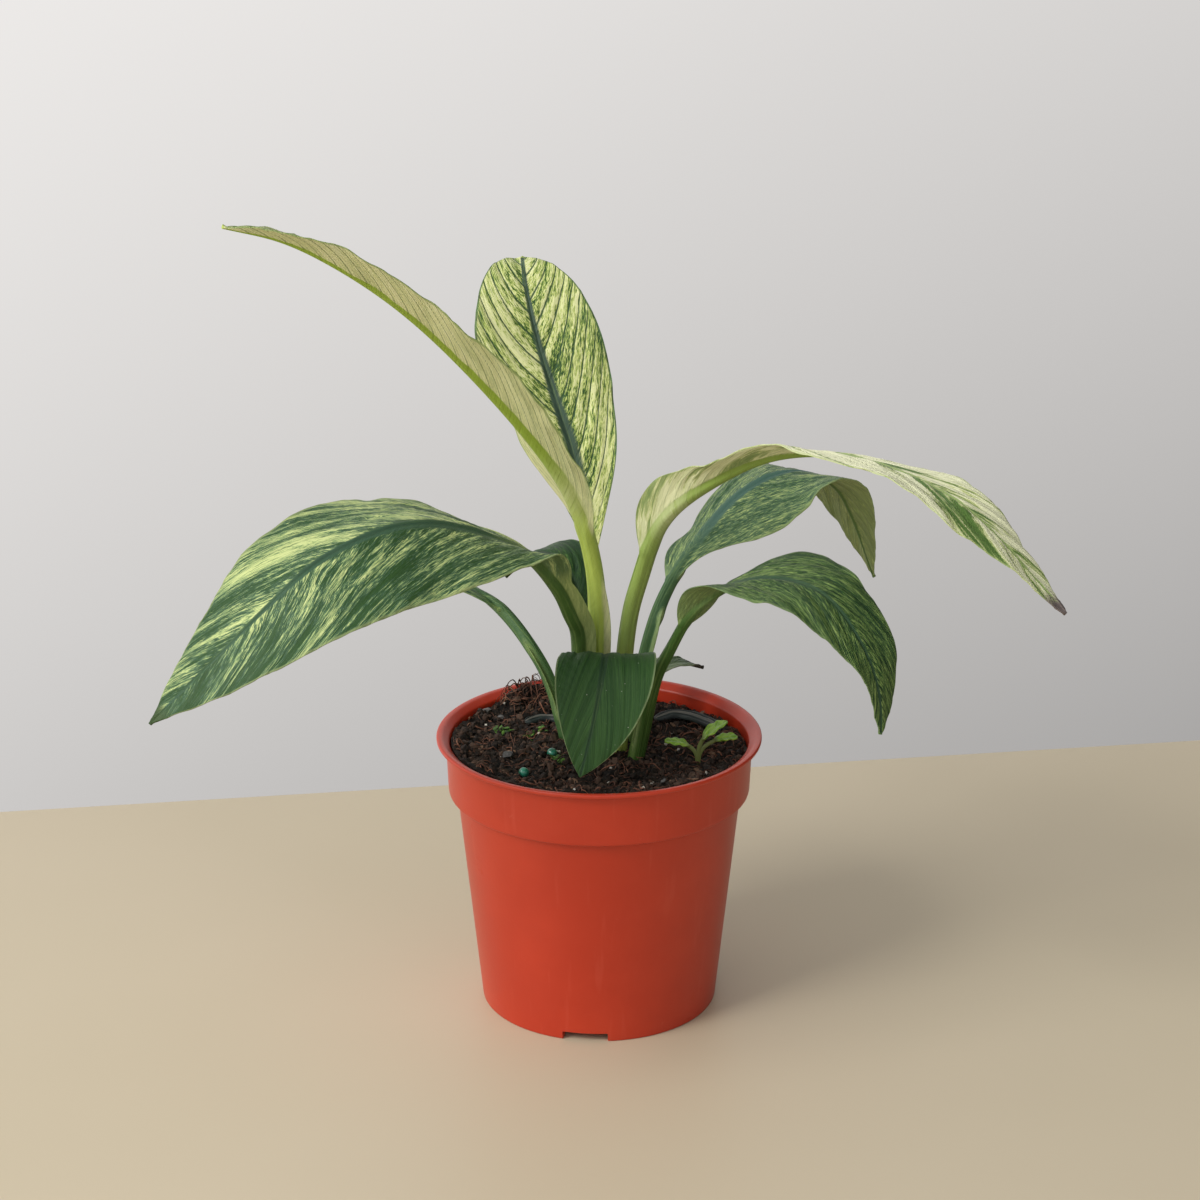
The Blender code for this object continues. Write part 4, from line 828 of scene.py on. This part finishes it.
def leaf_finish(name, leaf, number):
    """A leaf's skin: streaks drawn out along the side veins and coloured from dark to pale by their
    height, with the veins, the midrib, the stalk's stripes, the margin and a paler lower face over them."""
    made = Finish(name + "_skin", specular_ior_level=0.26, coat_weight=leaf.get("gloss", 0.03),
                  coat_roughness=0.30)
    across, along, vein = made.reading("across"), made.reading("along"), made.reading("vein")
    margin, ribs, blade, flat = (made.reading(key) for key in ("margin", "ribs", "blade", "flat"))
    under = made.reading("under")
    side = across.rise(-0.05, 0.05) * 9.0 + number * 3.7
    run = abs(across)
    bend = made.noise(made.vector(vein * 0.10, run * 0.12, side), 1.0, 2.0)
    bent = vein + bend * 9.0
    thin, short = leaf.get("grain", (1.8, 0.6))
    streak = made.noise(made.vector(bent * thin, run * short, side), 1.0, 4.0, 0.7)
    blotch = made.noise(made.vector(bent * 0.36, run * 0.17, side + 5.0), 1.0, 3.0, 0.6)
    patch = made.noise(made.vector(vein * 0.08, run * 0.06, side), 1.0, 2.0)
    speck = made.noise(made.vector(vein * 2.2, run * 1.2, side), 1.0, 3.0, 0.65)
    fine, middling, broad, dusty = leaf["marks"]
    field = (streak - 0.5) * fine + (blotch - 0.5) * middling + (patch - 0.5) * broad + (speck - 0.5) * dusty
    field = field + 0.5 + (blade - 0.5) * leaf.get("tipward", 0.0)
    field = field + across.rise(-0.05, 0.05) * leaf.get("leftward", 0.0)
    color = made.node("ShaderNodeValToRGB", {"stops": leaf["stops"]}, {0: field})

    spacing, width, strength = leaf["veins"]
    off = abs((vein / spacing).fraction() - 0.5) * spacing
    wander = streak * 1.2
    line = (off + wander - 0.6).rise(width, width * 0.25) * strength * flat
    thread = abs((vein / (spacing / 3)).fraction() - 0.5) * (spacing / 3)
    thread = (thread + wander * 0.4 - 0.24).rise(0.35, 0.1)
    line = line.larger(thread * leaf.get("threads", 0.3) * strength * flat)
    color = made.mix(line * (1 - margin.rise(0.9, 1.0) * 0.6), color, leaf["vein"])
    under_color, under_share = leaf["under"]
    shaded = made.mix(line * 0.6, made.mix(streak.rise(0.4, 0.6) * 0.5, under_color, color), leaf["vein"])
    color = made.mix(under * under_share, color, shaded)

    edge_color, edge_share = leaf["edge"]
    color = made.mix(margin.rise(0.955, 0.985) * edge_share * flat, color, edge_color)
    stripe = made.noise(made.vector(across * 2.2, along * 0.035, side), 1.0, 3.0)
    low, high = leaf["stalk"]
    stalk = made.mix((along / 60.0).rise(0.1, 1.0), low, high)
    stalk = made.mix(stripe.rise(0.45, 0.65) * 0.45, stalk, made.mix(0.5, stalk, PALE_GREEN))
    over_rib, under_rib = leaf["rib_colors"]
    rib_color = made.mix(stripe.rise(0.5, 0.7) * 0.3, made.mix(under, over_rib, under_rib), stalk)
    rib_color = made.mix(flat, stalk, rib_color)
    rib_inner, rib_outer = leaf.get("rib_span", (0.8, 1.25))
    on_rib = (ribs + (speck - 0.5) * (rib_outer - rib_inner)).rise(rib_outer, rib_inner) * flat
    on_rib = on_rib.larger((1 - flat) * ribs.rise(1.35, 1.05))
    pale, pale_share = leaf.get("sheath", ((.30, .38, .14), .5))
    flecked = made.mix((speck * 0.6 + streak * 0.6).rise(0.50, 0.68), pale, made.mix(0.4, LEAF_GREEN, pale))
    color = made.mix((1 - blade.rise(0.0, 0.06)) * pale_share, color, flecked)
    color = made.mix(on_rib, color, rib_color)
    if "tip" in leaf:
        dry_from, dry_color = leaf["tip"]
        dried = (blade + streak * 0.06 - 0.03).rise(dry_from, dry_from * 0.4 + 0.6)
        color = made.mix(dried, color, dry_color)
    if leaf.get("specks"):
        dots = made.node("ShaderNodeTexVoronoi", None,
                         {"Vector": made.vector(across * 0.55, along * 0.55, side), "Scale": 1.0})
        some = made.noise(made.vector(across * 0.3, along * 0.3, side), 1.0, 1.0).rise(0.5, 0.56)
        color = made.mix(dots.rise(0.11, 0.06) * some * 0.8, color, (0.55, 0.60, 0.50))
    roughness = 0.40 + speck * 0.14 + under * 0.10
    height = blotch * 1.6 + streak * 0.8 + speck * 0.6 - line * 0.9 + stripe * (1 - flat) * 1.2
    return made.surface(color, roughness, height, 0.5, 0.0006)


for number, (name, leaf) in enumerate(LEAVES.items()):
    upper, lower, readings = leaf_shell(leaf, 100 + 10 * number, STALK_STATIONS, BLADE_STATIONS, HALF_COLUMNS)
    points, faces, readings = closed_sheet(upper, lower, readings)
    make_piece(name + "_grown", points, faces, leaf_finish(name, leaf, number), [name], readings, 80.0)

# Dead leaves.  Two old leaves have dried to dark straps with a grey rib.  They lie loose on the soil.

OLD_LEAVES = {
    "old_leaf_right": dict(path=[(19, 23), (25, 27.5), (31, 26), (37, 20), (41, 13)], half=3.0),
    "old_leaf_left": dict(path=[(-25, 20), (-21, 23), (-16, 23.5), (-11.5, 21)], half=2.2),
}

old_finish = Finish("old_leaf_skin", specular_ior_level=0.4)
across, along = old_finish.reading("across"), old_finish.reading("along")
old_streak = old_finish.noise(old_finish.vector(across * 2.5, along * 0.12, 0.0), 1.0, 4.0)
old_color = old_finish.mix(old_streak.rise(0.4, 0.65), (0.010, 0.016, 0.016), (0.030, 0.042, 0.040))
old_rib = (abs(across + 0.15) + old_streak * 0.2).rise(0.48, 0.28) * 0.75
old_color = old_finish.mix(old_rib, old_color, (0.17, 0.16, 0.14))
old_finish.surface(old_color, 0.50, old_streak, 0.5, 0.0005)

for name, strap in OLD_LEAVES.items():
    flat_path = np.asarray(strap["path"], float)
    line, length = curve_through(np.column_stack([flat_path, 0 * flat_path[:, 0]]))
    line = line[::6]
    ahead = np.gradient(line, axis=0)
    ahead /= np.linalg.norm(ahead, axis=1)[:, None]
    side = np.stack([-ahead[:, 1], ahead[:, 0], 0 * ahead[:, 0]], axis=-1)
    s = np.linspace(0, 1, len(line))
    half = strap["half"] * np.sqrt(np.clip(1 - (2 * s - 1) ** 4, 0.01, 1))
    across = np.linspace(-1, 1, 25)
    sheet = line[:, None] + side[:, None] * (half[:, None] * across)[..., None]
    sheet[..., 2] = ground(sheet[..., 0], sheet[..., 1]).max() + 0.5
    crown = 1.0 * np.sqrt(np.clip(1 - across ** 2, 0, 1)) + 0.22 * np.cos(across * 14)
    lift = 0.35 + crown[None, :] * (half / strap["half"])[:, None]
    lift = lift + 0.15 * grain(sheet[..., 0], sheet[..., 1], 2.5, 81)
    points, faces, readings = closed_sheet(
        sheet + np.stack([0 * lift, 0 * lift, lift], axis=-1), sheet - np.array([0, 0, 0.15]),
        {"across": np.tile(across, (len(s), 1)), "along": (s * length)[:, None] + 0 * across})
    make_piece(name + "_dried", points, faces, old_finish, [name], readings, 60.0)

# Seedling.  A weed has sown itself in the soil at the right: three thin stems from one foot, each with a
# bright green leaf with blunt teeth.

SEEDLING = (
    dict(path=[(32.5, -12.5, 80), (32.6, -12.5, 92), (34.5, -12.5, 97), (39, -12, 100.5), (42, -11, 102)],
         side=90, half=3.9, blade=.62),
    dict(path=[(32.6, -12.4, 83), (32.8, -12.4, 91), (36, -11.5, 94.5), (41, -10.5, 96), (45.5, -10, 96)],
         side=90, half=2.7, blade=.66),
    dict(path=[(32.4, -12.6, 82), (32.3, -12.5, 90), (30, -12.2, 93.5), (26, -12, 95), (21.5, -11.5, 95.5)],
         side=270, half=2.7, blade=.60),
)

seedling_skin = Finish("seedling_skin", specular_ior_level=0.4)
vein = seedling_skin.reading("vein")
cloud = seedling_skin.noise(seedling_skin.place(), 420.0, 3.0)
line = abs((vein / 2.4).fraction() - 0.5).rise(0.16, 0.03) * seedling_skin.reading("flat")
leaf_color = seedling_skin.mix(cloud.rise(0.38, 0.62), (0.17, 0.36, 0.025), (0.32, 0.54, 0.050))
leaf_color = seedling_skin.mix(line * 0.5, leaf_color, (0.36, 0.50, 0.13))
stem_color = seedling_skin.mix(1 - seedling_skin.reading("flat"), leaf_color, (0.16, 0.20, 0.055))
seedling_skin.surface(stem_color, 0.5, cloud - line, 0.35, 0.0003)

seedling_points, seedling_faces, seedling_readings = [], [], []
for number, stem in enumerate(SEEDLING):
    leaf = dict(path=stem["path"], side=stem["side"], blade=stem["blade"], half=(stem["half"], stem["half"]),
                widest=.5, full=1.0, roll=[(0, 0)], rib=[(0, .50), (.5, .40), (1, .3)],
                wing=([(0, 0)], [(0, 0)]), fold=([(.5, 0), (.7, 12)], [(.5, 0), (.7, 12)]),
                wave=((.25, 3, 0), (.25, 3, .4)), veins=(2.4, .3, 1.0), sweep=(.6, .4), puff=.10)
    upper, lower, readings = leaf_shell(leaf, 300 + 10 * number, 20, 40, 12)
    points, faces, readings = closed_sheet(upper, lower, readings)
    offset = sum(len(p) for p in seedling_points)
    seedling_faces += [[corner + offset for corner in face] for face in faces]
    seedling_points.append(points)
    seedling_readings.append(readings)
joined = {label: np.concatenate([r[label] for r in seedling_readings]) for label in seedling_readings[0]}
make_piece("seedling_grown", np.vstack(seedling_points), seedling_faces, seedling_skin,
           ["seedling"], joined, 80.0)

# Room.  A pale sand-coloured table top in front of a light grey wall, lit by one broad soft lamp from the
# left, a weaker lamp from the right front, and by the room itself.  The wall is not lit but glows with
# painted light: brighter to the left and towards the top, and painted dark far to the right as painted shade
# for the pot's right side.  None of it belongs to the plant.


def stage_sheet(name, corners, finish):
    """A flat sheet of the room, from its corners in metres."""
    mesh = bpy.data.meshes.new(name)
    mesh.from_pydata(corners, [], [list(range(len(corners)))])
    mesh.materials.append(finish.material)
    made = bpy.data.objects.new(name, mesh)
    bpy.context.scene.collection.objects.link(made)
    return made


TABLE_SIDE = 3.0
EDGE_LEFT = np.array([-0.236, 0.152])
EDGE_RIGHT = np.array([0.251, 0.228])
along_edge = (EDGE_RIGHT - EDGE_LEFT) / np.linalg.norm(EDGE_RIGHT - EDGE_LEFT)
edge_middle = (EDGE_LEFT + EDGE_RIGHT) / 2 + POT_AXIS[:2]
toward = np.array([along_edge[1], -along_edge[0]])
far_left, far_right = edge_middle - along_edge * TABLE_SIDE, edge_middle + along_edge * TABLE_SIDE
table_finish = Finish("table_top", specular_ior_level=0.3)
table_cloud = table_finish.noise(table_finish.place(), 3.0, 3.0)
table_color = table_finish.mix(table_cloud.rise(0.3, 0.7), (0.56, 0.485, 0.345), (0.59, 0.51, 0.37))
table_finish.surface(table_color, 0.5)
stage_sheet("table_top", [(*far_left, 0.0), (*(far_left + toward * 4.0), 0.0),
                          (*(far_right + toward * 4.0), 0.0), (*far_right, 0.0)], table_finish)

WALL_RADIUS = 4.0
wall_turn = np.linspace(0, 2 * np.pi, 96, endpoint=False)
wall_points = turned(np.array([(WALL_RADIUS, -4.0), (WALL_RADIUS, 4.0)]), wall_turn)
# The wall is not lit by the lamps: it glows, and its glow is painted light that also lights the plant.
wall_finish = Finish("room_wall", emission_strength=1.0, roughness=1.0)
wall_place = wall_finish.place()
wall_x = wall_finish.node("ShaderNodeSeparateXYZ", None, {0: wall_place}, 0)
wall_z = wall_finish.node("ShaderNodeSeparateXYZ", None, {0: wall_place}, 2)
# Painted light: the glow is brighter to the left and towards the top.  Painted shade: far to the right it
# falls to 15 %, so the pot's right side gets less light.
painted_wall_light = (0.69 - wall_x * 0.07 + wall_z.larger(-1.8) * 0.13).larger(0.05)
painted_wall_light = painted_wall_light * (1.0 - wall_x.rise(1.0, 2.6) * 0.85)
wall_finish.set(wall_finish.shader.inputs["Emission Color"],
                wall_finish.mix(painted_wall_light.rise(0.0, 1.0), (0.0, 0.0, 0.0), (1.0, 0.975, 0.955)))
wall_finish.set(wall_finish.shader.inputs["Base Color"], (0.0, 0.0, 0.0))
wall_mesh = bpy.data.meshes.new("room_wall")
wall_mesh.from_pydata(wall_points.reshape(-1, 3).tolist(), [], grid_faces(2, 96, wrap=True, flip=True))
wall_mesh.materials.append(wall_finish.material)
room_wall = bpy.data.objects.new("room_wall", wall_mesh)
bpy.context.scene.collection.objects.link(room_wall)

bpy.context.scene.view_settings.view_transform = "Standard"
room = bpy.data.worlds.new("room")
bpy.context.scene.world = room
room.use_nodes = True
room.node_tree.nodes["Background"].inputs["Color"].default_value = (0.70, 0.70, 0.72, 1.0)
room.node_tree.nodes["Background"].inputs["Strength"].default_value = 0.55


def soft_lamp(name, place, size, power, color):
    """A square area lamp at a place in metres about the pot's foot, turned to face the plant."""
    lamp = bpy.data.lights.new(name, "AREA")
    lamp.shape = "SQUARE"
    lamp.size = size
    lamp.energy = power
    lamp.color = color
    made = bpy.data.objects.new(name, lamp)
    made.location = np.array(place) + POT_AXIS
    aim = mathutils.Vector((0.0, 0.0, 0.10)) - mathutils.Vector(place)
    made.rotation_euler = aim.to_track_quat("-Z", "Y").to_euler()
    bpy.context.scene.collection.objects.link(made)


soft_lamp("key_lamp", (-1.10, -0.75, 1.15), 0.75, 20.0, (1.0, 0.98, 0.95))
soft_lamp("fill_lamp", (1.3, -1.2, 0.9), 1.2, 4.0, (0.95, 0.97, 1.0))

# Camera.  It stands before the pot, a little above the plant, and looks down on it.

CAMERA_PLACE = (0.0003, -0.876, 0.4406)
CAMERA_DOWN = 18.92
camera = bpy.data.cameras.new("camera")
camera.lens = 85.0
camera.sensor_width = 36.0
camera_stand = bpy.data.objects.new("camera", camera)
camera_stand.location = np.array(CAMERA_PLACE) + POT_AXIS
camera_stand.rotation_euler = (math.radians(90.0 - CAMERA_DOWN), 0.0, 0.0)
bpy.context.scene.collection.objects.link(camera_stand)
bpy.context.scene.camera = camera_stand
